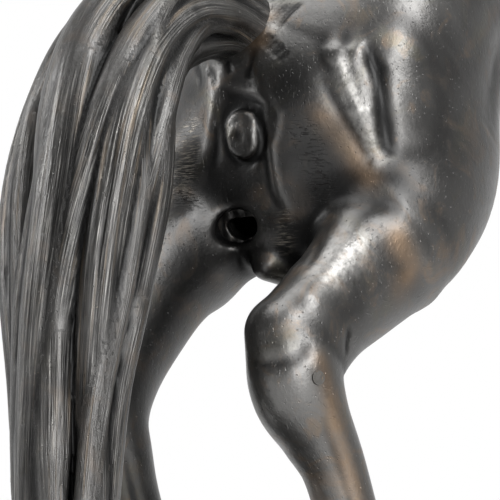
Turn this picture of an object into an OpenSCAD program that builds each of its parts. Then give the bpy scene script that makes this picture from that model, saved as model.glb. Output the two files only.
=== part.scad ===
// Rearing horse statuette, cast in bronze sections with pinned Roman joints and
// bolted through its hooves and tail to a stone plinth.
// Frame: +X towards the horse's head, +Y to its left, +Z up. The origin is the
// centre of the underside. Units are millimetres.

/* [Plinth] */
// Overall length of the stone plinth
plinth_length = 226; // [216:2:250]
// Overall width of the stone plinth
plinth_width = 112; // [104:2:130]
// Height of the stone
plinth_height = 24; // [20:1:40]
// Thickness of the felt glued under the stone
felt_thickness = 1.5; // [1:0.5:3]

/* [Bronze] */
// Wall of the hollow castings
wall = 4; // [3:0.5:5]
// Radius of the open core vent under the tail
vent_radius = 4.4; // [3.5:0.1:5]
// Radius of the spigots that key the castings together
spigot_radius = 5; // [4:0.5:5.5]
// Radius of the taper pins that lock the spigots
pin_radius = 1.2; // [1:0.1:1.5]

/* [Fixings] */
// Radius of the threaded studs that hold the hooves and tail
stud_radius = 2.5; // [2:0.5:3]
// Thickness of the washers
washer_thickness = 1; // [0.8:0.1:1.5]
// Height of the hexagon nuts
nut_height = 4; // [3:0.5:5]

/* [Vent and plugs] */
// Radius of the ring let in round the vent
collar_radius = 6.2; // [5.8:0.1:7]
// Thickness of that ring
collar_thickness = 2.2; // [1.5:0.1:2.5]
// How far the ring lies under the surface
collar_sunk = 0.8; // [0.4:0.1:1.2]
// Radius of the plugs that close the core pin holes
plug_radius = 1.8; // [1.5:0.1:2.2]
// Length of those plugs
plug_length = 5; // [4.5:0.5:6]

/* [Hair] */
// Locks in the mane
mane_locks = 12; // [9:1:14]
// Depth of the grooves between the tail's locks, as a share of its radius
tail_groove = 0.07; // [0:0.01:0.1]
// Locks round the tail
tail_locks = 5; // [4:1:6]

/* [Detail] */
// Faces around each trunk, neck and tail section
sides = 20; // [12:4:28]
// Faces around each leg section
leg_sides = 12; // [12:2:20]
// Intermediate sections between two stations
steps = 2; // [1:1:3]

/* [Hidden] */

$fn = 48;
deck = felt_thickness + plinth_height;
hoof_drop = 20;
bronze = [0.20, 0.17, 0.14];
spigot_play = 0.15;
skirt_play = 0.5;
spigot_length = 8;
socket_depth = 9;
pin_play = 0.08;
pin_back = 4.5;
plug_proud = 0.2;
ground = [0, 0, deck + hoof_drop];

// A station is one section of a limb or of the trunk:
// [x, y, z, axis angle in the XZ plane, half depth, half width]. The hooves stand at z = -hoof_drop.
trunk = [[-30, 0, 135, 25, 10, 10], [-26, 0, 138, 28, 20, 20], [-15, 0, 143, 33, 30, 32],
    [2, 0, 156, 40, 37, 40], [22, 0, 178, 46, 38, 41], [41, 0, 201, 49, 39, 39],
    [61, 0, 227, 50, 44, 42], [82, 0, 253, 49, 48, 44], [102, 0, 277, 46, 48, 41],
    [120, 0, 295, 43, 44, 36], [135, 0, 309, 40, 35, 31], [147, 0, 319, 38, 20, 19]];
groin = [[-12, 0, 146, -104, 14, 18], [-15, 0, 132, -98, 16, 21], [-15, 2, 122, -92, 16, 22],
    [-12, 3, 114, -80, 14, 20], [-4, 3, 110, -60, 11, 15]];
neck_stub = [[101, 0, 296, 58, 40, 28], [107, 0, 316, 66, 38.2, 25.3], [112, 0, 334, 72, 37, 21.5]];
neck = [[112, 0, 334, 72, 37, 21.5], [119, 0, 353, 74, 34, 18.5], [125, 0, 372, 72, 31, 16.5],
    [131, 0, 391, 64, 28.5, 15], [140, 0, 408, 42, 27, 14]];
poll = [[140, 0, 408, 42, 27, 14], [148, 0, 420, 30, 24, 13.5], [158, 0, 427, 5, 20, 12],
    [165, 0, 427, -8, 10, 7]];
head = [[153, 0, 427, -25, 15, 11], [159, 0, 423, -38, 20, 13.5], [169, 0, 414, -50, 20, 14],
    [180, 0, 400, -56, 17, 12], [189, 0, 386, -59, 13.5, 10], [198, 0, 371, -61, 12.5, 9.4],
    [206, 0, 358, -63, 12, 9.4], [211, 0, 350, -64, 8.5, 7.5]];
dock = [[0, 0, 152, 140, 14, 14], [-14, 0, 160, 152, 11, 11.5], [-26, 0.5, 165, 165, 10, 10.5]];
tail = [[-26, 0.5, 165, 165, 10, 10.5], [-44, 3, 168, 183, 12, 13], [-60, 6, 164, 212, 14, 16],
    [-71, 9, 151, 240, 15.5, 19], [-78, 10, 132, 255, 16, 22], [-82, 10, 110, 262, 16, 23],
    [-84, 11, 86, 266, 15, 20], [-85, 12, 60, 268, 13, 15.5], [-86, 11, 34, 268, 12, 13.5],
    [-87, 8, 8, 268, 11, 13], [-88, 8, -20, 270, 12, 13]];
thigh_right = [[18, -19, 160, -92, 36, 18], [15, -23, 137, -100, 32, 18], [7, -25, 119, -124, 25, 17],
    [-3, -25, 106, -141, 19.5, 14.5], [-16, -24, 94, -143, 16, 12]];
hind_right = [[-16, -24, 94, -143, 16, 12], [-27, -23, 84, -138, 13.4, 10.6],
    [-37, -22, 74, -112, 13.2, 11], [-39, -22, 66, -82, 13.2, 11.5], [-34.2, -22.5, 58, -68, 10.7, 10.2],
    [-26.2, -23.5, 46, -61, 8.8, 8.4], [-18.5, -24, 29, -60, 8.4, 7.8], [-10, -24, 14, -60, 8.6, 8],
    [-5, -24, 6, -59, 10.4, 9.8], [2, -24, -2, -50, 8.8, 9.2], [8, -24, -9, -62, 10.6, 10.8],
    [11, -24, -15, -82, 13.4, 12.8], [12, -24, -20, -90, 14.4, 13.8]];
thigh_left = [[10, 19, 158, -100, 33, 18], [-4, 23, 138, -113, 28, 18], [-18, 25, 122, -128, 23, 17],
    [-30, 25, 109, -138, 20, 14.5], [-42, 24, 96, -140, 17, 12]];
hind_left = [[-42, 24, 96, -140, 17, 12], [-53, 23, 81, -134, 15, 10.8],
    [-62, 22, 67, -108, 14, 11], [-64, 22, 57, -84, 13, 11.2], [-60.5, 22, 48, -71, 11.4, 10.6],
    [-55, 22, 37, -68, 9.6, 9], [-48.5, 21, 22, -66, 9, 8.4], [-42, 21, 9, -64, 8.8, 8.2],
    [-38.5, 21, 1, -60, 10.4, 9.8], [-32, 21, -6, -50, 8.8, 9.2], [-26.5, 21, -12, -65, 10.6, 10.8],
    [-24, 21, -16.5, -84, 13.4, 12.8], [-23.5, 21, -20, -90, 14.4, 13.8]];
upper_arm_right = [[124, -22, 292, -42, 28, 15], [142, -26, 272, -24, 20, 14],
    [160, -27, 264, -14, 14.5, 12]];
fore_right = [[160, -27, 264, -14, 14.5, 12], [176, -27, 260, -14, 12, 10.6],
    [190, -27, 256, -22, 11, 10.4], [199, -27, 251, -62, 11, 10.8], [200, -27, 242, -112, 9.8, 9.6],
    [194, -27, 230, -122, 8.2, 7.8], [186, -27, 217, -124, 8, 7.6], [180, -27, 207, -130, 9.2, 9],
    [172, -27, 200, -148, 7.4, 7.8], [164, -27, 196, -160, 9, 9.2], [156, -27, 193, -164, 11, 10.8],
    [151, -27, 191.5, -165, 11.6, 11.4]];
upper_arm_left = [[124, 22, 292, -36, 28, 15], [142, 26, 276, -10, 20, 14],
    [158, 27, 276, 14, 14.5, 12]];
fore_left = [[158, 27, 276, 14, 14.5, 12], [172, 27, 281, 22, 12, 10.6],
    [186, 27, 287, 14, 11, 10.4], [196, 27, 287, -30, 11.4, 10.8], [201, 27, 280, -78, 10.4, 9.8],
    [201, 27, 267, -95, 8.2, 7.8], [199, 27, 252, -98, 8, 7.6], [197, 27, 240, -106, 9.2, 9],
    [192, 27, 231, -128, 7.4, 7.8], [186, 27, 225, -138, 9, 9.2], [179, 27, 219, -138, 11, 10.8],
    [175, 27, 215.5, -138, 11.6, 11.4]];

// Where a stud comes up through the plinth, and the length of its thread inside the bronze
hoof_thread = 9;
tail_thread = 12;
stud_places = [[last_of(hind_right)[0], last_of(hind_right)[1], hoof_thread],
    [last_of(hind_left)[0], last_of(hind_left)[1], hoof_thread],
    [last_of(tail)[0], last_of(tail)[1], tail_thread]];
counterbore = 12;
counterbore_radius = 7;
felt_inset = 2;
washer_foot = felt_thickness + counterbore - washer_thickness;
stud_foot = washer_foot - nut_height - 1.5;

// The vent's place on the surface and the direction that it opens in
vent_place = [-28.5, 5, 111];
vent_turn = [0, 251, -6];

// The trunk is cast in two halves that meet at this station.
waist_at = 5.8;
waist = along(trunk, waist_at);

// The skirt under the neck, which the trunk's open top takes.
neck_skirt = [between(neck_stub[1], neck_stub[2], 0.5), between(neck[0], neck[1], 0.1)];

// The places of the core pins: [station, angle]
hind_plugs = [[trunk[4], 200], [trunk[4], 340]];
fore_plugs = [[trunk[7], 190], [trunk[7], 350]];
neck_plugs = [[neck[2], 195], [neck[2], 345]];
leg_plugs = [[hind_right[3], 200]];

// Each lock of the mane starts on the crest and falls over the right side of the neck: the angle
// and radius of each ball along a lock, and the stretch of neck that the locks start from
lock_angles = [88, 112, 136, 160, 182];
lock_radii = [7, 7, 6, 4.4, 1.8];
lock_sweep = 0.22;
crest_top = 3.9;
crest_span = 3.1;

// Where the rivets stand along the crest, and their radius
rivet_stations = [0.8, 2.1, 3.4];
rivet_radius = 1.3;

// The plinth has straight sides and round ends with one moulding all round: a plain band,
// a quarter round and a fillet.
band_height = 7;
fillet = 2;
half_width = plinth_width / 2;
half_straight = (plinth_length - plinth_width) / 2;
round_rise = plinth_height - band_height - 1.5 * fillet;
round_depth = 6;
round_foot = half_width - 1;
profile = concat(
    [[0, 0], [half_width, 0], [half_width, band_height]],
    [for (t = [0:15:90]) [round_foot - round_depth * (1 - cos(t)), band_height + round_rise * sin(t)]],
    [[round_foot - round_depth - fillet, band_height + round_rise],
        [round_foot - round_depth - fillet, plinth_height - fillet / 2],
        [round_foot - round_depth - 1.5 * fillet, plinth_height], [0, plinth_height]]);

// Catmull-Rom curve through rows of numbers, with n points to a span.
function blend(a, b, c, d, t) =
    0.5 * (2 * b + (c - a) * t + (2 * a - 5 * b + 4 * c - d) * t * t + (3 * b - a - 3 * c + d) * t * t * t);
function spline(rows, n) =
    let (last = len(rows) - 1, p = concat([2 * rows[0] - rows[1]], rows, [2 * rows[last] - rows[last - 1]]))
    concat([for (i = [0:last - 1], k = [0:n - 1]) blend(p[i], p[i + 1], p[i + 2], p[i + 3], k / n)], [rows[last]]);
// The point of a section at an angle round the limb, and a distance outside its skin.
function skin_point(s, angle, out = 0) = [
    s[0] - (s[4] + out) * sin(angle) * sin(s[3]),
    s[1] + (s[5] + out) * cos(angle),
    s[2] + (s[4] + out) * sin(angle) * cos(s[3])];
function groove(k, n, depth) = depth == 0 ? 0 : depth * cos(360 * k * tail_locks / n);
function section(s, n, depth = 0) = [for (k = [0:n - 1])
    skin_point(s, 360 * k / n, min(s[4], s[5]) * groove(k, n, depth))];
function between(a, b, t) = a + (b - a) * t;
function along(rows, t) = let (i = min(floor(t), len(rows) - 2)) between(rows[i], rows[i + 1], t - i);
function thinner(rows, by) = [for (s = rows) [s[0], s[1], s[2], s[3], s[4] - by, s[5] - by]];
function part_of(rows, from, to) = [for (i = [from:to]) rows[i]];
function last_of(rows) = rows[len(rows) - 1];

// A closed skin through the stations' sections.
module loft(rows, n, spans = steps, depth = 0) {
    fine = spline(rows, spans);
    count = len(fine);
    polyhedron(
        points = [for (i = [0:count - 1]) each section(fine[i], n, depth * min(1, i / 4, (count - 1 - i) / 4))],
        faces = concat(
            [for (i = [0:count - 2], k = [0:n - 1]) let (a = i * n + k, b = i * n + (k + 1) % n) [a, a + n, b]],
            [for (i = [0:count - 2], k = [0:n - 1]) let (a = i * n + k, b = i * n + (k + 1) % n) [b, a + n, b + n]],
            [[for (k = [0:n - 1]) k]],
            [[for (k = [n - 1:-1:0]) (count - 1) * n + k]]));
}

// Puts its children at a station, with their +Z along the limb.
module at_station(s) {
    translate([s[0], s[1], s[2]]) rotate([0, 90 - s[3], 0]) children();
}

// The spigot that a casting pushes into its neighbour, drilled for the pin.
module spigot(s) {
    at_station(s) difference() {
        translate([0, 0, -spigot_length]) cylinder(h = spigot_length + 1, r = spigot_radius);
        translate([0, 0, -pin_back]) rotate([90, 0, 0])
            cylinder(h = 4 * spigot_radius, r = pin_radius + pin_play, center = true);
    }
}

// What the neighbour loses for that spigot and its pin.
module socket(s) {
    at_station(s) {
        translate([0, 0, -socket_depth]) cylinder(h = socket_depth + 0.5, r = spigot_radius + spigot_play);
        translate([0, 0, -pin_back]) rotate([90, 0, 0])
            cylinder(h = 3 * s[5], r = pin_radius + pin_play, center = true);
    }
}

module joint_pin(s) {
    at_station(s) translate([0, 0, -pin_back]) rotate([90, 0, 0])
        cylinder(h = 2 * s[5] - 3, r = pin_radius, center = true);
}

// A muscle or a lock of hair: two balls and the skin stretched over them.
module bulge(a, ra, b, rb, facets = 16) {
    hull() {
        translate(a) sphere(r = ra, $fn = facets);
        translate(b) sphere(r = rb, $fn = facets);
    }
}

// Sits children on the vent's axis, with their +Z pointing out of the casting.
module at_vent() {
    translate(vent_place) rotate(vent_turn) children();
}

// Puts its children on a section's skin at an angle round the limb, with their +Z outwards.
// Angle 0 is the left side, 180 the right side and 90 the upper side.
module on_skin(s, angle) {
    translate(skin_point(s, angle)) rotate([0, 90 - s[3], 0])
        rotate([0, 0, atan2(cos(angle) * s[4], -sin(angle) * s[5])]) rotate([0, 90, 0]) children();
}

module plug_hole(place) {
    on_skin(place[0], place[1])
        translate([0, 0, -plug_length - 0.5]) cylinder(h = plug_length + 6, r = plug_radius + 0.1);
}

module plug(place) {
    on_skin(place[0], place[1])
        translate([0, 0, -plug_length]) cylinder(h = plug_length + plug_proud, r = plug_radius);
}

module trunk_skin() {
    loft(trunk, sides);
    loft(groin, sides);
    loft(dock, sides);
    loft(neck_stub, sides);
    for (rows = [thigh_right, thigh_left, upper_arm_right, upper_arm_left]) loft(rows, leg_sides);
    for (side = [-1, 1]) {
        bulge([36, side * 24, 205], 16, [4, side * 24, 172], 17);
        bulge([2, side * 22, 168], 15, [-8, side * 25, 146], 13);
        bulge([90, side * 24, 296], 17, [126, side * 21, 286], 18);
        bulge([126, side * 16, 270], 14, [108, side * 20, 262], 14);
    }
    bulge([-19, 2, 106], 6.5, [-11, 2, 107], 7.5);
    bulge([56, 0, 282], 14, [84, 0, 308], 13);
}

module trunk_cavity() {
    loft(thinner(part_of(trunk, 1, 10), wall), sides);
    loft(thinner(part_of(groin, 0, 3), wall), sides);
    loft(thinner(concat(neck_stub, [neck[1]]), wall), sides);
    loft(thinner(part_of(thigh_right, 0, 3), wall), leg_sides);
    loft(thinner(part_of(thigh_left, 0, 3), wall), leg_sides);
}

module fore_side() {
    at_station(waist) translate([-200, -200, 0]) cube([400, 400, 400]);
}

// The fore half's skirt, which slides into the hind half.
module trunk_skirt() {
    low = along(trunk, waist_at - 0.35);
    high = along(trunk, waist_at + 0.35);
    difference() {
        union() {
            loft(thinner([low, along(trunk, waist_at + 0.2)], wall + skirt_play), sides, 1);
            loft(thinner([along(trunk, waist_at + 0.06), high], wall / 2), sides, 1);
        }
        loft(thinner([along(trunk, waist_at - 0.5), along(trunk, waist_at + 0.5)], 2 * wall), sides, 1);
    }
}

// Four short pins round the waist lock the halves.
module around_waist() {
    for (angle = [35, 145, 215, 325])
        on_skin(along(trunk, waist_at - 0.14), angle) translate([0, 0, -2 * wall]) children();
}

module waist_pin_holes() {
    around_waist() translate([0, 0, -4]) cylinder(h = 2 * wall + 10, r = pin_radius + pin_play);
}

module hindquarters_casting() {
    color(bronze) translate(ground) difference() {
        trunk_skin();
        trunk_cavity();
        fore_side();
        for (rows = [thigh_right, thigh_left, dock]) socket(last_of(rows));
        at_vent() translate([0, 0, -collar_sunk - collar_thickness])
            cylinder(h = 20, r = collar_radius + 0.1);
        at_vent() translate([0, 0, -2 * wall - collar_thickness]) cylinder(h = 20, r = vent_radius);
        waist_pin_holes();
        for (place = hind_plugs) plug_hole(place);
    }
}

module forehand_casting() {
    color(bronze) translate(ground) difference() {
        union() {
            intersection() {
                difference() {
                    trunk_skin();
                    trunk_cavity();
                }
                fore_side();
            }
            trunk_skirt();
        }
        for (rows = [upper_arm_right, upper_arm_left]) socket(last_of(rows));
        waist_pin_holes();
        neck_pin_holes();
        for (place = fore_plugs) plug_hole(place);
    }
}

module neck_skin() {
    loft(neck, sides);
    for (side = [-1, 1]) {
        bulge([130, side * 11, 347], 9, [134, side * 9.5, 366], 8);
        bulge([134, side * 9.5, 366], 8, [140, side * 8, 388], 7);
        bulge([104, side * 10, 356], 9, [111, side * 8.5, 376], 8.5);
        bulge([111, side * 8.5, 376], 8.5, [121, side * 8, 396], 7.5);
    }
}

module neck_pin_holes() {
    at_station(neck[0]) translate([0, 0, -pin_back]) rotate([90, 0, 0])
        cylinder(h = 4 * neck[0][5], r = pin_radius + pin_play, center = true);
}

module neck_casting() {
    color(bronze) translate(ground) difference() {
        union() {
            neck_skin();
            loft(thinner(neck_skirt, wall + skirt_play), sides, 1);
        }
        loft(thinner(concat([between(neck_stub[1], neck_stub[2], 0.3)], part_of(neck, 0, 3)), 2 * wall), sides);
        neck_pin_holes();
        socket(poll[0]);
        for (t = rivet_stations) rivet_hole(t);
        for (place = neck_plugs) plug_hole(place);
    }
}

function lock_point(k, j) =
    let (t = crest_top - crest_span * k / (mane_locks - 1) - lock_sweep * j)
    skin_point(along(neck, max(t, 0)), lock_angles[j], 1.5 + 0.8 * (k % 3));

module mane_casting() {
    color(bronze) translate(ground) difference() {
        for (k = [0:mane_locks - 1], j = [0:3])
            bulge(lock_point(k, j), lock_radii[j], lock_point(k, j + 1), lock_radii[j + 1], 8);
        neck_skin();
        loft(neck_stub, sides);
        loft(poll, sides);
        for (t = rivet_stations) rivet_hole(t);
    }
}

module rivet_hole(t) {
    on_skin(along(neck, t), 90) translate([0, 0, -6.2]) cylinder(h = 30, r = rivet_radius + pin_play);
}

module mane_rivets() {
    color("dimgray") translate(ground) for (t = rivet_stations)
        on_skin(along(neck, t), 90) translate([0, 0, -6]) cylinder(h = 12, r = rivet_radius);
}

module ear(side) {
    hull() {
        translate([148, side * 7, 438]) sphere(r = 4, $fn = 12);
        translate([147, side * 8.5, 447]) sphere(r = 3.4, $fn = 12);
        translate([151, side * 9, 457]) sphere(r = 0.8, $fn = 8);
    }
}

module head_casting() {
    color(bronze) translate(ground) {
        loft(poll, sides);
        loft(head, sides);
        for (side = [-1, 1]) {
            ear(side);
            bulge([162, side * 6, 418], 10.5, [172, side * 5.5, 404], 9);
        }
        spigot(poll[0]);
    }
}

// A leg: one casting with a spigot at its top, and a tapped hole if it stands on the plinth.
module leg(rows, thread = 0) {
    foot = last_of(rows);
    color(bronze) translate(ground) difference() {
        union() {
            loft(rows, leg_sides);
            spigot(rows[0]);
        }
        if (thread > 0) translate([foot[0], foot[1], foot[2] - 1]) cylinder(h = thread + 1, r = stud_radius);
    }
}

module hind_leg_right() {
    difference() {
        leg(hind_right, hoof_thread);
        color(bronze) translate(ground) for (place = leg_plugs) plug_hole(place);
    }
}

module hind_leg_left() {
    leg(hind_left, hoof_thread);
}

module foreleg_right() {
    leg(fore_right);
}

module foreleg_left() {
    leg(fore_left);
}

module tail_casting() {
    foot = last_of(tail);
    color(bronze) translate(ground) difference() {
        union() {
            loft(tail, 4 * tail_locks, steps, tail_groove);
            spigot(tail[0]);
        }
        translate([foot[0], foot[1], foot[2] - 1]) cylinder(h = tail_thread + 1, r = stud_radius);
    }
}

module vent_collar() {
    color("darkslategray") translate(ground) at_vent()
        translate([0, 0, -collar_sunk - collar_thickness]) difference() {
            cylinder(h = collar_thickness, r = collar_radius);
            translate([0, 0, -1]) cylinder(h = collar_thickness + 2, r = vent_radius);
        }
}

module neck_joint_pins() {
    color("dimgray") translate(ground) {
        joint_pin(poll[0]);
        for (side = [-1, 1])
            at_station(neck[0]) translate([0, side * (neck[0][5] - wall), -pin_back]) rotate([90, 0, 0])
                cylinder(h = 2 * wall, r = pin_radius, center = true);
    }
}

module trunk_joint_pins() {
    color("dimgray") translate(ground) around_waist() cylinder(h = 2 * wall, r = pin_radius);
}

module leg_joint_pins() {
    color("dimgray") translate(ground)
        for (rows = [hind_right, hind_left, fore_right, fore_left]) joint_pin(rows[0]);
}

module tail_joint_pin() {
    color("dimgray") translate(ground) joint_pin(tail[0]);
}

module core_pin_plugs() {
    color("saddlebrown") translate(ground)
        for (place = concat(hind_plugs, fore_plugs, neck_plugs, leg_plugs)) plug(place);
}

module stone() {
    for (end = [-1, 1]) translate([end * half_straight, 0, 0]) rotate_extrude() polygon(profile);
    for (side = [0, 1]) mirror([0, side, 0])
        translate([-half_straight, 0, 0]) rotate([90, 0, 90])
            linear_extrude(height = 2 * half_straight) polygon(profile);
}

module plinth() {
    color("darkslategray") translate([0, 0, felt_thickness]) difference() {
        stone();
        for (foot = stud_places) translate([foot[0], foot[1], -1]) {
            cylinder(h = plinth_height + 2, r = stud_radius + 0.5);
            cylinder(h = counterbore + 1, r = counterbore_radius);
        }
    }
}

module mounting_studs() {
    color("silver") for (foot = stud_places) translate([foot[0], foot[1], stud_foot])
        cylinder(h = deck - stud_foot + foot[2] - 0.5, r = stud_radius);
}

module stud_washers() {
    color("silver") for (foot = stud_places) translate([foot[0], foot[1], washer_foot]) difference() {
        cylinder(h = washer_thickness, r = 2 * stud_radius);
        translate([0, 0, -1]) cylinder(h = washer_thickness + 2, r = stud_radius + 0.2);
    }
}

module stud_nuts() {
    color("gold") for (foot = stud_places) translate([foot[0], foot[1], washer_foot - nut_height])
        difference() {
            cylinder(h = nut_height, r = 1.85 * stud_radius, $fn = 6);
            translate([0, 0, -1]) cylinder(h = nut_height + 2, r = stud_radius + 0.02);
        }
}

module felt_pad() {
    r = half_width - felt_inset;
    color("darkgreen") linear_extrude(height = felt_thickness) {
        square([2 * half_straight, 2 * r], center = true);
        for (end = [-1, 1]) translate([end * half_straight, 0]) circle(r = r);
    }
}

hindquarters_casting();
forehand_casting();
neck_casting();
head_casting();
mane_casting();
tail_casting();
hind_leg_right();
hind_leg_left();
foreleg_right();
foreleg_left();
vent_collar();
trunk_joint_pins();
neck_joint_pins();
leg_joint_pins();
tail_joint_pin();
mane_rivets();
core_pin_plugs();
plinth();
mounting_studs();
stud_washers();
stud_nuts();
felt_pad();
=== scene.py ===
"""A rearing horse in patinated bronze on a stone plinth, modelled as clay and cut into its castings.

The horse is built up in blocks of signed distances, like clay, turned into quads, and worked over with
strokes. It is then cut across at the joints of the castings, and each casting gets procedural bronze.
"""

import math

import bmesh
import bpy
import numpy as np
import openvdb
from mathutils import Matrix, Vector
from mathutils.kdtree import KDTree


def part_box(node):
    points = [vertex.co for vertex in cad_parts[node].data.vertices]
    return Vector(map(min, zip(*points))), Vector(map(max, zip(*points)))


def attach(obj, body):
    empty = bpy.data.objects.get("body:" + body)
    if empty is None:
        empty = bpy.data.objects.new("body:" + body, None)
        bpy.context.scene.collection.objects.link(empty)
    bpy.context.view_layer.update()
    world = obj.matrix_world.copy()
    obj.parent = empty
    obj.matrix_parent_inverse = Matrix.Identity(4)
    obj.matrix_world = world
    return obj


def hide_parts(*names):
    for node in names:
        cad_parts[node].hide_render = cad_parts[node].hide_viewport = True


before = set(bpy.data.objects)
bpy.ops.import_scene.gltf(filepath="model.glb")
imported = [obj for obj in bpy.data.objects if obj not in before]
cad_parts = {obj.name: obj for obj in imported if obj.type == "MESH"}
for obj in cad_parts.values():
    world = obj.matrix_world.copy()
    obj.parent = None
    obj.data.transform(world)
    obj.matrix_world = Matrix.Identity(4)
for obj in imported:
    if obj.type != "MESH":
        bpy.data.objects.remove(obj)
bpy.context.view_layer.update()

MM = 0.001
# The stations' datum lies a hoof's height over the top of the plinth.
HOOF_DROP = 20
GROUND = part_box("plinth")[1].z / MM + HOOF_DROP
# The distance, in millimetres, that stands for empty space in a block of clay
FAR = 30.0

# Stations, in millimetres: x, y, z above the datum, axis angle in the XZ plane, half depth,
# half width. The hooves stand HOOF_DROP under the datum.
TRUNK = [[-8, 0, 150, 36, 33, 35], [2, 0, 156, 40, 37, 40], [22, 0, 178, 46, 38, 41], [41, 0, 201, 49, 39, 39],
         [61, 0, 227, 50, 44, 42], [82, 0, 253, 49, 48, 44], [102, 0, 277, 46, 48, 41],
         [120, 0, 295, 43, 44, 36], [135, 0, 309, 40, 35, 31], [147, 0, 319, 38, 20, 19]]
GROIN = [[-12, 0, 146, -104, 14, 18], [-15, 0, 132, -98, 16, 21], [-15, 2, 123, -90, 16, 22],
         [-14, 3, 116, -84, 14, 20]]
DOCK = [[0, 0, 152, 140, 14, 14], [-14, 0, 160, 152, 11, 11.5], [-26, 0.5, 165, 165, 10, 10.5]]
NECK = [[101, 0, 296, 58, 40, 28], [107, 0, 316, 66, 38.5, 25], [112, 0, 334, 72, 37, 21.5],
        [119, 0, 353, 74, 34, 18.5], [125, 0, 372, 72, 31, 16.5], [131, 0, 391, 64, 28.5, 15],
        [140, 0, 408, 42, 27, 14], [148, 0, 420, 30, 24, 13.5], [158, 0, 427, 5, 20, 12],
        [165, 0, 427, -8, 10, 7]]
HEAD = [[153, 0, 427, -25, 15, 11], [159, 0, 423, -38, 20, 13.5], [169, 0, 414, -50, 20, 14],
        [180, 0, 400, -56, 17, 12], [189, 0, 386, -59, 13.5, 10], [198, 0, 371, -61, 12.5, 9.4],
        [206, 0, 358, -63, 12, 9.4], [211, 0, 350, -64, 8.5, 7.5]]
HIND_RIGHT = [[18, -19, 160, -92, 36, 18], [15, -23, 137, -100, 32, 18], [7, -25, 119, -124, 25, 17],
              [-3, -25, 106, -141, 19.5, 14.5], [-16, -24, 94, -143, 16, 12],
              [-27, -23, 84, -138, 13.4, 10.6], [-37, -22, 74, -112, 13.2, 11],
              [-39, -22, 67, -84, 13.4, 11.5], [-33.6, -22.5, 57, -66, 10.2, 10.2],
              [-26.2, -23.5, 46, -61, 8.8, 8.4], [-18.5, -24, 29, -60, 8.4, 7.8], [-10, -24, 14, -60, 8.6, 8],
              [-5, -24, 6, -59, 10.4, 9.8], [2, -24, -2, -50, 8.8, 9.2], [8, -24, -9, -62, 10.6, 10.8],
              [11, -24, -15, -82, 13.4, 12.8], [12, -24, -20, -90, 14.4, 13.8]]
HIND_LEFT = [[10, 19, 158, -100, 33, 18], [-4, 23, 138, -113, 28, 18], [-18, 25, 122, -128, 23, 17],
             [-30, 25, 109, -138, 20, 14.5], [-42, 24, 96, -140, 17, 12], [-53, 23, 81, -134, 15, 10.8],
             [-62, 22, 67, -108, 14, 11], [-64, 22, 57, -84, 13, 11.2], [-60.5, 22, 48, -71, 11.4, 10.6],
             [-55, 22, 37, -68, 9.6, 9], [-48.5, 21, 22, -66, 9, 8.4], [-42, 21, 9, -64, 8.8, 8.2],
             [-38.5, 21, 1, -60, 10.4, 9.8], [-32, 21, -6, -50, 8.8, 9.2],
             [-26.5, 21, -12, -65, 10.6, 10.8], [-24, 21, -16.5, -84, 13.4, 12.8],
             [-23.5, 21, -20, -90, 14.4, 13.8]]
FORE_RIGHT = [[124, -22, 292, -42, 28, 15], [142, -26, 272, -24, 20, 14], [160, -27, 264, -14, 14.5, 12],
              [176, -27, 260, -14, 12, 10.6], [190, -27, 256, -22, 11, 10.4], [199, -27, 251, -62, 11, 10.8],
              [200, -27, 242, -112, 9.8, 9.6], [194, -27, 230, -122, 8.2, 7.8], [186, -27, 217, -124, 8, 7.6],
              [180, -27, 207, -130, 9.2, 9], [172, -27, 200, -148, 7.4, 7.8], [164, -27, 196, -160, 9, 9.2],
              [156, -27, 193, -164, 11, 10.8], [151, -27, 191.5, -165, 11.6, 11.4]]
FORE_LEFT = [[124, 22, 292, -36, 28, 15], [142, 26, 276, -10, 20, 14], [158, 27, 276, 14, 14.5, 12],
             [172, 27, 281, 22, 12, 10.6], [186, 27, 287, 14, 11, 10.4], [196, 27, 287, -30, 11.4, 10.8],
             [201, 27, 280, -78, 10.4, 9.8], [201, 27, 267, -95, 8.2, 7.8], [199, 27, 252, -98, 8, 7.6],
             [197, 27, 240, -106, 9.2, 9], [192, 27, 231, -128, 7.4, 7.8], [186, 27, 225, -138, 9, 9.2],
             [179, 27, 219, -138, 11, 10.8], [175, 27, 215.5, -138, 11.6, 11.4]]


# ---- curves and clay

def spline(rows, spans):
    """Catmull-Rom curve through rows of numbers, with spans points to each gap."""
    rows = np.array(rows, float)
    rows = np.vstack([2 * rows[0] - rows[1], rows, 2 * rows[-1] - rows[-2]])
    t = (np.arange(spans) / spans)[:, None]
    pieces = []
    for a, b, c, d in zip(rows, rows[1:], rows[2:], rows[3:]):
        pieces.append(0.5 * (2 * b + (c - a) * t + (2 * a - 5 * b + 4 * c - d) * t**2
                             + (3 * b - a - 3 * c + d) * t**3))
    return np.vstack([*pieces, rows[-2]])


def smooth_min(a, b, soft):
    """The smaller of two distances, with the crease between them rounded over a width of soft."""
    h = np.clip(0.5 + 0.5 * (b - a) / soft, 0, 1)
    return b + (a - b) * h - soft * h * (1 - h)


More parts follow.
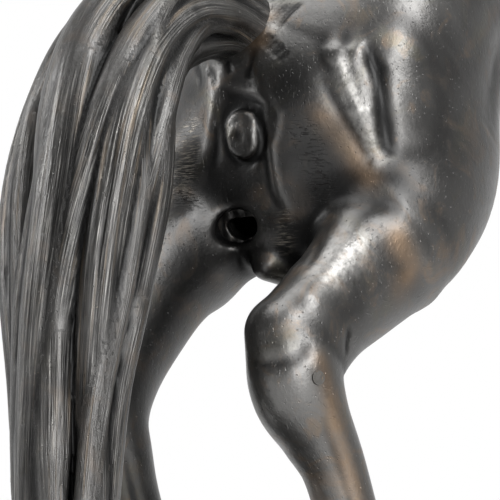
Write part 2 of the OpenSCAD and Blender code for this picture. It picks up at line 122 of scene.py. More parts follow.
class Clay:
    """A block of signed distances, in millimetres above the datum, that is shaped by adding and carving."""

    def __init__(self, low, high, voxel):
        """An empty block from low to high with cells of one size."""
        self.low = np.array(low, float)
        self.voxel = voxel
        counts = np.ceil((np.array(high) - self.low) / voxel).astype(int) + 1
        self.axes = [self.low[k] + voxel * np.arange(counts[k]) for k in range(3)]
        self.field = np.full(counts, FAR, np.float32)

    def window(self, low, high):
        """The slices of a box and the coordinates in it, or None if the box is outside the block."""
        spans = []
        for axis, a, b in zip(self.axes, low, high):
            first = max(0, int(np.searchsorted(axis, a)))
            last = min(len(axis), int(np.searchsorted(axis, b)))
            if last - first < 1:
                return None
            spans.append(slice(first, last))
        x, y, z = (axis[s].astype(np.float32) for axis, s in zip(self.axes, spans))
        return tuple(spans), x[:, None, None], y[None, :, None], z[None, None, :]

    def add(self, spot, d, soft):
        """Blends a shape into the block."""
        self.field[spot] = smooth_min(d, self.field[spot], soft)

    def carve(self, spot, d, soft):
        """Takes a shape out of the block."""
        self.field[spot] = -smooth_min(d, -self.field[spot], soft)

    def limb(self, rows, soft, spans=8, carve=False):
        """Adds or carves a limb with elliptical sections through the stations."""
        fine = spline(rows, spans)
        reach = fine[:, 4:].max(1) + 2 * soft + 1
        box = self.window(fine[:, :3].min(0) - reach.max(), fine[:, :3].max(0) + reach.max())
        if box is None:
            return
        spot = box[0]
        d = np.full(self.field[spot].shape, FAR, np.float32)
        for k, (a, b) in enumerate(zip(fine, fine[1:])):
            margin = max(reach[k], reach[k + 1])
            part = self.window(np.minimum(a[:3], b[:3]) - margin, np.maximum(a[:3], b[:3]) + margin)
            if part is None:
                continue
            inner, x, y, z = part
            here = tuple(slice(i.start - s.start, i.stop - s.start) for i, s in zip(inner, spot))
            d[here] = np.minimum(d[here], section_distance(a, b, x, y, z))
        (self.carve if carve else self.add)(spot, d, soft)

    def bone(self, a, ra, b, rb, soft, carve=False):
        """Adds or carves a rounded rod from a to b with a radius at each end."""
        a, b = np.array(a, float), np.array(b, float)
        margin = max(ra, rb) + 2 * soft + 1
        box = self.window(np.minimum(a, b) - margin, np.maximum(a, b) + margin)
        if box is None:
            return
        spot, x, y, z = box
        (self.carve if carve else self.add)(spot, rod_distance(a, ra, b, rb, x, y, z), soft)

    def button(self, centre, way, radius, half, soft, edge=0.6, carve=False):
        """Adds or carves a disc with a rounded edge that faces a given way."""
        centre, way = np.array(centre, float), np.array(way, float)
        way = way / np.linalg.norm(way)
        margin = math.hypot(radius, half) + 2 * soft + 1
        box = self.window(centre - margin, centre + margin)
        if box is None:
            return
        spot, x, y, z = box
        x, y, z = x - centre[0], y - centre[1], z - centre[2]
        up = x * way[0] + y * way[1] + z * way[2]
        out = np.sqrt(np.maximum(x * x + y * y + z * z - up * up, 0)) - radius + edge
        up = np.abs(up) - half + edge
        d = np.hypot(np.maximum(out, 0), np.maximum(up, 0)) + np.minimum(np.maximum(out, up), 0) - edge
        (self.carve if carve else self.add)(spot, d, soft)

    def chain(self, points, radii, soft, carve=False):
        """Adds or carves a row of rods through the points."""
        for a, ra, b, rb in zip(points, radii, points[1:], radii[1:]):
            self.bone(a, ra, b, rb, soft, carve)

    def pair(self, a, ra, b, rb, soft):
        """Adds the same rod on the left and the right side."""
        for side in (-1, 1):
            flip = np.array([1, side, 1])
            self.bone(np.array(a) * flip, ra, np.array(b) * flip, rb, soft)

    def skin(self):
        """The vertices and quads of the block's surface."""
        grid = openvdb.FloatGrid(FAR)
        grid.copyFromArray(self.field)
        points, quads = grid.convertToQuads(0)
        return self.low + points.astype(float) * self.voxel, quads.astype(np.int32)


def section_distance(a, b, x, y, z):
    """Distance to a length of limb between two neighbouring stations."""
    step = b[:3] - a[:3]
    t = ((x - a[0]) * step[0] + (y - a[1]) * step[1] + (z - a[2]) * step[2]) / max(step @ step, 1e-6)
    over = t - np.clip(t, 0, 1)
    t = np.clip(t, 0, 1)
    angle = np.radians(a[3] + (b[3] - a[3]) * t)
    depth = a[4] + (b[4] - a[4]) * t
    width = a[5] + (b[5] - a[5]) * t
    v = -(x - a[0] - step[0] * t) * np.sin(angle) + (z - a[2] - step[2] * t) * np.cos(angle)
    u = y - a[1] - step[1] * t
    w = over * math.sqrt(step @ step)
    ratio = np.sqrt((u / width) ** 2 + (v / depth) ** 2 + (w / np.minimum(depth, width)) ** 2) + 1e-4
    return (ratio - 1) * (np.sqrt(u * u + v * v + w * w) + 1e-3) / ratio


def rod_distance(a, ra, b, rb, x, y, z):
    """Distance to a rounded rod from a to b with a radius at each end."""
    step = b - a
    t = ((x - a[0]) * step[0] + (y - a[1]) * step[1] + (z - a[2]) * step[2]) / max(step @ step, 1e-6)
    t = np.clip(t, 0, 1)
    away = (x - a[0] - step[0] * t) ** 2 + (y - a[1] - step[1] * t) ** 2 + (z - a[2] - step[2] * t) ** 2
    return np.sqrt(away) - (ra + (rb - ra) * t)


# ---- meshes

def neighbours(quads, count):
    """The edges of a quad mesh and each vertex's number of them."""
    edges = np.vstack([quads[:, [0, 1]], quads[:, [1, 2]], quads[:, [2, 3]], quads[:, [3, 0]]])
    edges = np.unique(np.sort(edges, axis=1), axis=0)
    edges = edges[edges[:, 0] != edges[:, 1]]
    return edges, np.maximum(np.bincount(edges.ravel(), minlength=count), 1)


def averaged(values, edges, degree):
    """Each vertex's mean over its neighbours, for one or more columns of values."""
    columns = values.reshape(len(values), -1)
    out = np.empty_like(columns)
    for k in range(columns.shape[1]):
        column = columns[:, k]
        total = np.bincount(edges[:, 0], column[edges[:, 1]], len(column))
        total += np.bincount(edges[:, 1], column[edges[:, 0]], len(column))
        out[:, k] = total / degree
    return out.reshape(values.shape)


def normals_of(co, quads):
    """Each vertex's normal, from the quads round it weighted by area."""
    across = np.cross(co[quads[:, 2]] - co[quads[:, 0]], co[quads[:, 3]] - co[quads[:, 1]])
    normals = np.zeros_like(co)
    for k in range(4):
        for axis in range(3):
            normals[:, axis] += np.bincount(quads[:, k], across[:, axis], len(co))
    return normals / np.maximum(np.linalg.norm(normals, axis=1, keepdims=True), 1e-9)


class Skin:
    """A quad surface in the clay's frame, with what is needed to work on it like a sculptor."""

    def __init__(self, clay, relax):
        """The clay's surface, smoothed by a number of rounds."""
        self.co, self.quads = clay.skin()
        self.edges, self.degree = neighbours(self.quads, len(self.co))
        for _ in range(relax):
            self.co = 0.5 * self.co + 0.5 * averaged(self.co, self.edges, self.degree)
        self.refresh()

    def refresh(self):
        """Brings the normals up to date."""
        self.normals = normals_of(self.co, self.quads)

    def relief(self, rounds, full):
        """How far each point stands above or sinks below its surroundings, from -1 to 1."""
        smooth = self.co
        for _ in range(rounds):
            smooth = averaged(smooth, self.edges, self.degree)
        height = ((self.co - smooth) * self.normals).sum(1)
        return np.clip(averaged(height, self.edges, self.degree) / full, -1, 1)

    def near_path(self, points, reach):
        """The vertices within reach of a path, their distances to it and how far along it they are."""
        points = np.array(points, float)
        low, high = points.min(0) - reach, points.max(0) + reach
        found = np.flatnonzero(((self.co > low) & (self.co < high)).all(1))
        here = self.co[found]
        best = np.full(len(found), 1e9)
        place = np.zeros(len(found))
        for k, (a, b) in enumerate(zip(points, points[1:])):
            step = b - a
            t = np.clip((here - a) @ step / max(step @ step, 1e-9), 0, 1)
            d = np.linalg.norm(here - a - t[:, None] * step, axis=1)
            closer = d < best
            best[closer] = d[closer]
            place[closer] = (k + t[closer]) / (len(points) - 1)
        keep = best < reach
        return found[keep], best[keep], place[keep]

    def snapped(self, points, reach=9):
        """The points moved onto the nearest bit of surface."""
        out = []
        for p in np.array(points, float):
            near = np.flatnonzero((np.abs(self.co - p) < reach).all(1))
            if len(near):
                p = self.co[near[np.argmin(((self.co[near] - p) ** 2).sum(1))]]
            out.append(p)
        return out

    def stroke(self, points, radius, height, fade=0.25):
        """Raises (or with a negative height sinks) the surface along a path, fading out at its ends."""
        points = self.snapped(points)
        found, d, place = self.near_path(points, 2.6 * radius)
        amount = height * np.exp(-((d / radius) ** 2))
        if fade:
            amount *= np.clip(place / fade, 0, 1) ** 0.7 * np.clip((1 - place) / fade, 0, 1) ** 0.7
        self.co[found] += self.normals[found] * amount[:, None]

    def strokes(self, rows):
        """Each row is a path, a radius, a height and, if need be, the share of the path that fades."""
        for row in rows:
            self.stroke(*row)
        self.refresh()

    def painted(self, rows):
        """A layer from 0 to 1 that is full along each row's path and gone a few radii from it."""
        layer = np.zeros(len(self.co))
        for points, radius in rows:
            found, d, _ = self.near_path(self.snapped(points), 2.2 * radius)
            layer[found] = np.maximum(layer[found], np.exp(-((d / radius) ** 2)))
        return layer


def new_mesh(name, skin, layers):
    """A mesh in metres in the row frame, with the layers that its material reads."""
    co, quads = skin.co, skin.quads
    mesh = bpy.data.meshes.new(name)
    mesh.vertices.add(len(co))
    mesh.vertices.foreach_set("co", to_metres(co).astype(np.float32).ravel())
    mesh.loops.add(quads.size)
    mesh.loops.foreach_set("vertex_index", quads.astype(np.int32).ravel())
    mesh.polygons.add(len(quads))
    mesh.polygons.foreach_set("loop_start", np.arange(0, quads.size, 4, dtype=np.int32))
    for layer, values in layers.items():
        kind = "FLOAT" if values.ndim == 1 else "FLOAT_VECTOR"
        attribute = mesh.attributes.new(layer, kind, "POINT")
        attribute.data.foreach_set("value" if values.ndim == 1 else "vector", values.astype(np.float32).ravel())
    mesh.update(calc_edges=True)
    mesh.validate()
    return mesh


def station_at(rows, t):
    """The station at a place between two of the rows."""
    k = min(int(t), len(rows) - 2)
    a, b = np.array(rows[k], float), np.array(rows[k + 1], float)
    return a + (b - a) * (t - k)


def along_axis(station):
    """The direction in which a limb runs at a station."""
    return np.array([math.cos(math.radians(station[3])), 0, math.sin(math.radians(station[3]))])


def to_metres(points):
    """Clay coordinates in the row frame."""
    return (points + [0, 0, GROUND]) * MM


def part_along(bm, rows, t):
    """Parts the surface all round a limb at a station."""
    station = station_at(rows, t)
    centre, along = Vector(to_metres(station[:3])), Vector(along_axis(station))
    faces = [f for f in bm.faces if (f.calc_center_median() - centre).length < 1.5 * station[4] * MM]
    around = {e for f in faces for e in f.edges} | {v for f in faces for v in f.verts}
    found = bmesh.ops.bisect_plane(bm, geom=faces + list(around), plane_co=centre, plane_no=along, dist=1e-6)
    bmesh.ops.split_edges(bm, edges=[e for e in found["geom_cut"] if isinstance(e, bmesh.types.BMEdge)])


def islands(bm):
    """The separate surfaces in a mesh, as lists of vertices, largest first."""
    seen = set()
    found = []
    for start in bm.verts:
        if start.index in seen:
            continue
        seen.add(start.index)
        group, front = [start], [start]
        while front:
            v = front.pop()
            for e in v.link_edges:
                w = e.other_vert(v)
                if w.index not in seen:
                    seen.add(w.index)
                    group.append(w)
                    front.append(w)
        found.append(group)
    return sorted(found, key=len, reverse=True)


def cut_pieces(mesh, cuts, wanted):
    """Cuts a mesh across its limbs and returns the closed pieces that hold the wanted points."""
    bm = bmesh.new()
    bm.from_mesh(mesh)
    for rows, t in cuts:
        part_along(bm, rows, t)
    bm.verts.index_update()
    groups = islands(bm)
    label = np.zeros(len(bm.verts), int)
    for k, group in enumerate(groups):
        label[[v.index for v in group]] = k
    co = np.array([v.co for v in bm.verts])
    pieces = {}
    for name, point in wanted.items():
        pieces[name] = label[np.argmin(np.linalg.norm(co - to_metres(np.array(point, float)), axis=1))]
    out = {}
    for name, kept in pieces.items():
        piece = bm.copy()
        piece.verts.ensure_lookup_table()
        bmesh.ops.delete(piece, geom=[piece.verts[i] for i in np.flatnonzero(label != kept)], context="VERTS")
        rim = [e for e in piece.edges if e.is_boundary]
        for e in rim:
            e.smooth = False
        caps = bmesh.ops.holes_fill(piece, edges=rim, sides=0)["faces"]
        for f in piece.faces:
            f.smooth = True
        for f in caps:
            f.smooth = False
        data = bpy.data.meshes.new(name)
        piece.to_mesh(data)
        piece.free()
        out[name] = data
    bm.free()
    return out


def show(name, mesh, material, node):
    """Puts a finished piece in the scene in place of a CAD node."""
    piece = bpy.data.objects.new(name, mesh)
    bpy.context.scene.collection.objects.link(piece)
    mesh.materials.clear()
    mesh.materials.append(material)
    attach(piece, "root")
    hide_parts(node)
    return piece


# ---- the horse in clay

# Where the trunk's two castings meet, as a place in TRUNK
WAIST = 3.8
# The vent under the tail and the button over it: the middle of each and the way that it faces
VENT = np.array([-28.6, 6.4, 112])
VENT_WAY = np.array([-0.86, -0.16, -0.48])
VENT_WAY /= np.linalg.norm(VENT_WAY)
BUTTON = np.array([-35.2, -2, 134.8])
BUTTON_WAY = np.array([-0.965, -0.08, -0.25])


def skin_at(rows, t, angle, out=0):
    """The point of a limb's skin between its stations. Angle 0 is the left, 90 the upper or front side."""
    s = station_at(rows, t)
    turn, axis = math.radians(angle), math.radians(s[3])
    return np.array([s[0] - (s[4] + out) * math.sin(turn) * math.sin(axis),
                     s[1] + (s[5] + out) * math.cos(turn),
                     s[2] + (s[4] + out) * math.sin(turn) * math.cos(axis)])


def ring(rows, t, start=0, end=360):
    """Points round a limb at a station."""
    return [skin_at(rows, t, angle) for angle in np.linspace(start, end, 25)]


def both_sides(strokes):
    """The strokes of the left side on the right side and then on the left."""
    return [([(x, side * y, z) for x, y, z in path], *rest) for side in (-1, 1) for path, *rest in strokes]


def sole(clay, rows):
    """Cuts a hoof off flat at its last station."""
    last = np.array(rows[-1], float)
    way = along_axis(last)
    clay.button(last[:3] + way * 9, way, 20, 9, 0.3, carve=True)


def oval(clay, a, b, tall, wide, soft, carve=False):
    """A straight bar from a to b with an oval section that is wide across the horse."""
    angle = math.degrees(math.atan2(b[2] - a[2], b[0] - a[0]))
    clay.limb([[*a, angle, tall, wide], [*b, angle, tall, wide]], soft, 1, carve=carve)


def shape_horse(clay):
    """The masses of the whole horse without its hair, as far as they lie in this block."""
    clay.limb(TRUNK, 1)
    clay.limb(GROIN, 6)
    clay.limb(DOCK, 6)
    clay.limb(NECK, 9)
    clay.limb(HEAD, 5)
    clay.limb(HIND_RIGHT[:4], 12)
    clay.limb(HIND_LEFT[:4], 12)
    for rows in (HIND_RIGHT[3:], HIND_LEFT[3:], FORE_RIGHT, FORE_LEFT):
        clay.limb(rows, 4)
    # haunches, shoulders and breast
    clay.pair((34, 22, 208), 17, (2, 23, 172), 18, 10)
    clay.pair((0, 22, 168), 15, (-9, 25, 146), 13, 8)
    clay.pair((90, 24, 296), 17, (126, 21, 286), 17, 10)
    clay.pair((126, 16, 270), 14, (108, 20, 262), 14, 10)
    # between the thighs, the withers, and the jowls
    clay.bone((-20, 2, 108), 6.5, (-10, 2, 108), 8, 4)
    clay.bone((56, 0, 282), 14, (84, 0, 308), 13, 12)
    clay.pair((162, 6, 418), 10.5, (172, 5.5, 404), 9, 5)
    for rows in (HIND_RIGHT, HIND_LEFT, FORE_RIGHT, FORE_LEFT):
        sole(clay, rows)


def shape_rear(clay):
    """The muscles, folds and openings of the hindquarters."""
    # two ridges down each quarter from the hip, and the thigh, which all end further back on the left
    for side, back in ((-1, 0), (1, 1)):
        clay.chain([(-18, side * 20, 174), (-24.6, side * 24.6, 154), (-20.8 - back, side * 28, 140),
                    (-15.4 - 2.4 * back, side * 31, 126)], [4.5, 5.3, 4.1, 1.3], 0.7)
        clay.chain([(-14, side * 25, 174), (-21, side * 28, 154), (-18.6 - back, side * 30.4, 140),
                    (-15 - 2.4 * back, side * 31.6, 127)], [4.5, 5.4, 3.9, 1.5], 0.9)
        clay.bone((-9, side * 29, 156), 11.5, (-4 - 3 * back, side * 29, 136), 10.5, 3)
    # gaskins and the cords behind them
    clay.bone((-20, -26, 106), 4.6, (-41, -25.4, 85), 5.2, 8)
    clay.bone((-24, -22.5, 103), 3.6, (-35, -22.5, 92), 4, 3)
    clay.bone((-35, -22.5, 92), 4, (-45, -21.5, 80), 5.5, 4)
    clay.bone((-46, 26, 103), 6, (-62, 25, 86), 6, 2)
    clay.bone((-50, 22.5, 97), 4.2, (-71, 22, 70), 5.5, 2)
    # points of the hocks
    clay.bone((-45.6, -21, 78), 8, (-45.2, -21.4, 75.5), 8, 3)
    clay.bone((-69.3, 21.5, 70.5), 7.8, (-68.8, 21.8, 68), 7.8, 3)
    # the hollow band under the tail with the raised button in it
    clay.bone((-61, -2.6, 146.5), 23.6, (-56.8, -2, 124.5), 23.4, 0.9, carve=True)
    clay.button(BUTTON + (0.2, 0.2, 1.9), BUTTON_WAY, 5.2, 3, 0.7, 1)
    clay.button(BUTTON + (0.1, -0.2, -1.3), BUTTON_WAY, 4.9, 3, 0.5, 1)
    clay.bone(BUTTON + BUTTON_WAY * 5, 2.2, BUTTON + BUTTON_WAY * 5 + (0, 0.3, 0.6), 2.2, 0.9, carve=True)
    # the sheath
    clay.bone((-22.8, 0.6, 101.6), 4.4, (-14, -3, 100.8), 5.2, 2.2)
    # the vent: a recess for the ring, the hole and the hollow behind it
    clay.bone(VENT - VENT_WAY * 13, 7.5, (2, 2, 150), 15, 1, carve=True)
    oval(clay, VENT - VENT_WAY * 2.4, VENT + VENT_WAY * 0.4, 4.9, 6.2, 1, carve=True)
    clay.button(VENT - VENT_WAY * 4, VENT_WAY, 4.6, 14, 0.3, carve=True)


REAR_STROKES = [
    # the lip that winds from the root of the tail round the button and down the right of the band
    ([(-39.3, 4.7, 150.6), (-38.7, 1.1, 148.4), (-39, -3.5, 146.2), (-38.4, -8, 145.1), (-37.1, -11.8, 143.3),
      (-35.8, -14, 139), (-34.1, -12.1, 134.3), (-33.5, -9.6, 131.1), (-31.2, -9, 125.6), (-29.7, -9.4, 119.8),
      (-28.4, -10.8, 115), (-25.2, -8.8, 109.5)], 1.2, 0.34),
    ([(-38.6, 2.6, 146.4), (-38.4, -4.4, 143.4), (-36.6, -9.2, 141.4), (-35, -9.4, 136.8), (-33.6, -7.6, 131.4),
      (-31.6, -7, 125.6), (-30.2, -7, 119.8), (-28.4, -8.2, 114)], 1.3, -0.4),
    # the softer ridge at its left
    ([(-39.7, 2.2, 147.5), (-38.4, 6.4, 143.4), (-37.1, 9, 140.1), (-36.1, 10.4, 134), (-36.5, 12.6, 128.1),
      (-36.2, 13.6, 122)], 1.9, 0.35),
    ([(-37, 6.6, 140), (-35.4, 7.6, 134), (-34.8, 8.8, 128)], 1.3, -0.45),
    # creases from the band up into the root of the tail
    ([(-36.9, 10.8, 156.1), (-38.2, 7.4, 153), (-38.8, 5.4, 149)], 0.9, -0.5),
    ([(-33.5, 17.5, 159.8), (-36, 14, 155.8), (-36.8, 12, 150.6)], 1.2, -0.5),
    ([(-38.4, 1.4, 156.5), (-39, 0.4, 152)], 1, -0.5),
    ([(-37.4, -7.2, 157.9), (-38.4, -6, 152.6), (-38.6, -5.4, 149)], 1.1, -0.5),
    # a moat round the lower half of the button
    ([(-36.2, 4.6, 136), (-35.2, 4, 131.5), (-34.2, 1.6, 128), (-33.8, -2.2, 127), (-34, -5.8, 128.2),
      (-34.6, -7.8, 132), (-35.4, -8.2, 136)], 0.9, -0.45),
    # the valley between the two ridges of the right quarter, and the fine groove down the first
    ([(-22.1, -32.5, 158), (-19.8, -34.7, 150.3), (-18.5, -34.8, 143.7), (-16.2, -34.1, 136.1),
      (-13.6, -33.4, 128)], 2.6, -1.3),
    ([(-31.2, -24, 149), (-27.4, -26.4, 141), (-22, -29, 133), (-17, -31, 125)], 1.6, -0.35),
    ([(-26, -28.5, 143.3), (-23, -29.6, 138), (-20.3, -30.4, 132.6)], 0.7, -0.3),
    # worn hair that runs from the root of the tail on to the rump
    *[([(-37 + 0.5 * k, -4.4 - 1.5 * k, 163.5 - 0.3 * k), (-35.4 + 0.8 * k, -6.4 - 1.6 * k, 167.4),
        (-32.4 + 0.8 * k, -8 - 1.8 * k, 171)], 0.5, -0.35 - 0.1 * (k % 2)) for k in range(6)],
    *[([(-36.6 + 0.35 * k, -8.2 - 1.1 * k, 158.6 - 1.2 * k),
        (-35 + 0.3 * k, -11 - 1.1 * k, 161.6 - 1.2 * k)], 0.5, -0.35) for k in range(6)],
    # furrow between gaskin and Achilles cord, and the crease above the gaskin
    ([(-26.5, -23.4, 104.6), (-32.5, -25.2, 98.4), (-38.5, -25.6, 92)], 1.4, -0.35),
    ([(-20.5, -21.5, 113.5), (-17.6, -26.6, 112), (-10.5, -33, 112)], 3.4, -0.5),
    # under the point of the hock
    ([(-51.5, -16.6, 70), (-52.2, -22.5, 69), (-51, -27.4, 69), (-46.8, -31.2, 71),
      (-44.4, -32.4, 73.6)], 2, -0.35),
    ([(-76, 16, 62), (-76.6, 22, 61), (-75, 28, 61.4), (-71, 31, 62)], 2.4, -0.7),
    ([(-30.6, -33.2, 80), (-31.6, -33.4, 76), (-31.4, -33.4, 72)], 0.9, -0.4),
    # tendons down both cannons
    ([(-40, -31.4, 57), (-33, -31.8, 45), (-25, -31, 30), (-16, -30.6, 15)], 1.8, -0.35),
    ([(-42, -15.4, 58), (-34, -16.4, 45), (-25, -17.2, 30), (-16, -17.6, 15)], 1.2, -0.5),
    ([(-66, 29.6, 50), (-60, 29.6, 37), (-53, 28.4, 22), (-46, 28, 9)], 1.2, -0.5),
    ([(-66, 14.6, 50), (-60, 14.4, 37), (-53, 13.8, 22), (-46, 14, 9)], 1.2, -0.5),
    # creases over the fetlocks, and the coronets
    *[(ring(rows, t), radius, height, 0) for rows in (HIND_RIGHT, HIND_LEFT)
      for t, radius, height in ((13.3, 0.9, -0.5), (14.15, 0.8, 0.5), (14.5, 0.8, -0.6))],
    # stifle and flank on both sides
    ([(26, -40, 142), (31, -39, 156), (38, -38, 170), (50, -36, 186)], 6, -1.1, 0.5),
    ([(20, 40, 142), (26, 39, 156), (34, 38, 170), (48, 36, 186)], 6, -1.1, 0.5),
    *both_sides([([(4, 40, 160), (14, 41, 178), (26, 40.5, 196), (42, 38, 214)], 6, -0.7, 0.5)]),
]


# What is painted on the hindquarters for the material to use: rows of a path and a radius
REAR_PAINT = {
    "ticks": [([(-31, -18.6, 133.4), (-27.4, -18.6, 127), (-24, -18.6, 120)], 3),
              ([(-42, 17.4, 122), (-39, 14, 118.6)], 2.6)],
    "filed": [([(-34.4, 17, 140), (-35.4, 17.4, 133), (-38, 17.4, 127)], 3.4),
              ([(-24, -6, 106), (-27, -9, 112)], 2.2)],
    "rubbed": [([(-42.4, -32.6, 70), (-37, -33, 56), (-28, -32.5, 42), (-21, -32, 28)], 2.6),
               ([(-14.6, -37.7, 104.6), (-9.9, -37.8, 98), (-12, -36, 92)], 4),
               ([(-29, -23, 138), (-22.5, -27.5, 130), (-17, -30, 122)], 3.2),
               ([(-37.4, -7.2, 160), (-36.6, -9, 166)], 3.4)],
    # painted highlight, partly polish by touch: pale patches at the root of the tail, along the ridge of the
    # right quarter and over the gaskin
    "polish_and_painted_highlight": [([(-34.2, -7.2, 169.6), (-34.4, -10.3, 165.7), (-34.1, -12.8, 162.9)], 2.2),
                 ([(-26, -28.4, 150), (-22.6, -31, 140), (-17, -32.6, 128)], 2.6),
                 ([(-27, -31, 101), (-37, -31, 92)], 5)],
    # painted shade: darker patches where the surface lies in shade: the flat of the right quarter, the hollow
    # over the gaskin, the crotch, the valley between the ridges, the rump under the tail and the whole left
    # hind leg
    "painted_shade": [([(-34, -16, 146), (-32, -20, 134), (-28, -20, 122), (-24, -14, 110)], 10.5),
                  ([(-12, -35, 122), (-15, -36.5, 113), (-20, -31, 110)], 5),
                  ([(-35, 0, 126), (-30, 8, 114), (-22, 4, 102)], 9),
                  ([(-38, 17, 112), (-42, 17, 100), (-52, 16, 84), (-62, 18, 66), (-58, 18, 45),
                    (-50, 18, 25), (-42, 18, 5)], 11),
                  ([(-19.8, -34.7, 152), (-17, -34.4, 140), (-14, -33.4, 129)], 2.4),
                  ([(-33.5, 22, 155), (-35.7, 17, 151), (-36.4, 13.5, 151)], 5.5)],
}


# ---- hair

def lock(points, radius, taper, wander, seed):
    """A smooth tapering lock: its points and radii, wandering a little from the path it is given."""
    rng = np.random.default_rng(seed)
    fine = spline(points, 7)
    s = np.linspace(0, 1, len(fine))
    for axis in range(3):
        fine[:, axis] += wander * s * np.sin(2 * math.pi * (s * rng.uniform(0.8, 1.6) + rng.uniform()))
    swell = np.minimum(1, 0.45 + 2.4 * s) * np.clip((1 - s) / taper, 0.12, 1) ** 0.7
    return fine, radius * swell


def combed(skin, locks, ribs, depth):
    """Cuts the fine furrows along each lock; returns layers that tell the material where they run and fade."""
    tree = KDTree(sum(len(points) for points, _ in locks))
    owner = []
    for k, (points, _) in enumerate(locks):
        for j, p in enumerate(points):
            tree.insert(Vector(p), len(owner))
            owner.append((k, j))
    tree.balance()
    reach = np.concatenate([np.broadcast_to(radii, len(points)) for points, radii in locks])
    nearest, lead = [], []
    for p in skin.co:
        ranked = sorted((away - reach[i], i) for _, i, away in tree.find_n(Vector(p), 24))
        first, best = ranked[0]
        rival = next((gap for gap, i in ranked if owner[i][0] != owner[best][0]), first + 9)
        nearest.append(best)
        lead.append(rival - first)
    nearest, owner = np.array(nearest), np.array(owner)
    inside = np.clip(np.array(lead) / 0.9, 0, 1)
    centres = np.vstack([points for points, _ in locks])
    steps = np.vstack([np.gradient(points, axis=0) for points, _ in locks])
    steps /= np.maximum(np.linalg.norm(steps, axis=1, keepdims=True), 1e-6)
    along = np.concatenate([np.cumsum(np.r_[0, np.linalg.norm(np.diff(points, axis=0), axis=1)])
                            for points, _ in locks])
    away = skin.co - centres[nearest]
    step = steps[nearest]
    side = np.cross(step, [0.31, 0.92, 0.24])
    side /= np.maximum(np.linalg.norm(side, axis=1, keepdims=True), 1e-6)
    other = np.cross(step, side)
    around = np.arctan2((away * other).sum(1), (away * side).sum(1))
    run = along[nearest] + (away * step).sum(1)
    key = owner[nearest, 0]
    height = np.cos(around * ribs + key * 1.7 + 0.05 * run)
    height = (height + 0.5 * np.cos(around * (ribs + 4) - key + 0.11 * run)) * inside
    for _ in range(3):
        height = averaged(height, skin.edges, skin.degree)
    skin.co += skin.normals * (1.5 * depth * height)[:, None]
    skin.refresh()
    return {"strands": np.column_stack([around * 4 + key * 11, run * 0.03, key * 0.37]), "inside": inside}


TAIL = [[-26, 0.5, 165, 165, 10, 10.5], [-44, 3, 168, 183, 12, 13], [-60, 6, 164, 212, 14, 16],
        [-71, 9, 151, 240, 15.5, 19], [-78, 10, 132, 255, 16, 22], [-82, 10, 110, 262, 16, 23],
        [-84, 11, 86, 266, 15, 20], [-85, 12, 60, 268, 13, 15.5], [-86, 11, 34, 268, 12, 13.5],
        [-87, 8, 8, 268, 11, 13], [-88, 8, -20, 270, 12, 13]]


def tail_locks():
    """Locks all round the tail: big ones outside, slimmer ones that part from them lower down."""
    rows = spline(TAIL, 10)
    count = len(rows)
    s = np.linspace(0, 1, count)
    axis = np.radians(rows[:, 3])
    depthwise = np.column_stack([-np.sin(axis), np.zeros(count), np.cos(axis)])
    out = []
    rng = np.random.default_rng(7)
    for ring_of, share, size in ((12, 0.76, 0.30), (11, 0.87, 0.15)):
        for k in range(ring_of):
            turn = 2 * math.pi * (k + 0.3 * rng.uniform(-1, 1)) / ring_of
            turn = turn + 0.34 * np.sin(2 * math.pi * (s * rng.uniform(0.7, 1.3) + rng.uniform())) + 0.5 * s
            reach = share * (1 + 0.05 * np.sin(2 * math.pi * (s * rng.uniform(1.5, 2.5) + rng.uniform())))
            points = rows[:, :3] + depthwise * (reach * rows[:, 4] * np.sin(turn))[:, None]
            points[:, 1] += reach * rows[:, 5] * np.cos(turn)
            grown = np.sqrt(rows[:, 4] * rows[:, 5]) * size * rng.uniform(0.75, 1.25)
            ends = np.clip((1.06 - s - 0.12 * rng.uniform()) / 0.22, 0.15, 1)
            starts = np.clip(0.3 + 5 * s, 0, 1)
            out.append((points, grown * ends * starts))
    return out


def mane_locks():
    """Locks that start on the crest and fall over the right side of the neck."""
    rng = np.random.default_rng(3)
    out = []
    for k in range(26):
        start = 5.95 - 3.2 * k / 25 + rng.uniform(-0.04, 0.04)
        long = rng.uniform(0.85, 1.1)
        points = []
        for j, angle in enumerate((78, 98, 120, 142, 162, 182)):
            turn = 78 + (angle - 78) * long
            points.append(skin_at(NECK, max(start - 0.1 * j, 2.05), turn, 2.6 - 0.25 * j + (k % 3) * 0.7))
        out.append(lock(points, rng.uniform(3, 4), 0.55, 1.6, 100 + k))
    return out


# ---- the pieces of the horse

def bronze_layers(skin, rounds=26, full=0.32):
    """The layers that every bronze reads: what stands up and what lies deep, broad and fine."""
    return {"relief": skin.relief(rounds, full), "fine_relief": skin.relief(5, 0.07)}


def build_rear():
    """The hindquarters and both hind legs."""
    clay = Clay([-88, -56, -24], [106, 56, 262], 0.75)
    shape_horse(clay)
    shape_rear(clay)
    skin = Skin(clay, 5)
    skin.strokes(REAR_STROKES)
    layers = bronze_layers(skin)
    layers |= {name: skin.painted(rows) for name, rows in REAR_PAINT.items()}
    mesh = new_mesh("rear", skin, layers)
    cuts = [(TRUNK, WAIST), (HIND_RIGHT, 4), (HIND_LEFT, 4), (DOCK, 2)]
    wanted = {"hindquarters": (-15, -40, 143), "right_hind_leg": (-39, -22, 60), "left_hind_leg": (-63, 22, 50)}
    return cut_pieces(mesh, cuts, wanted)


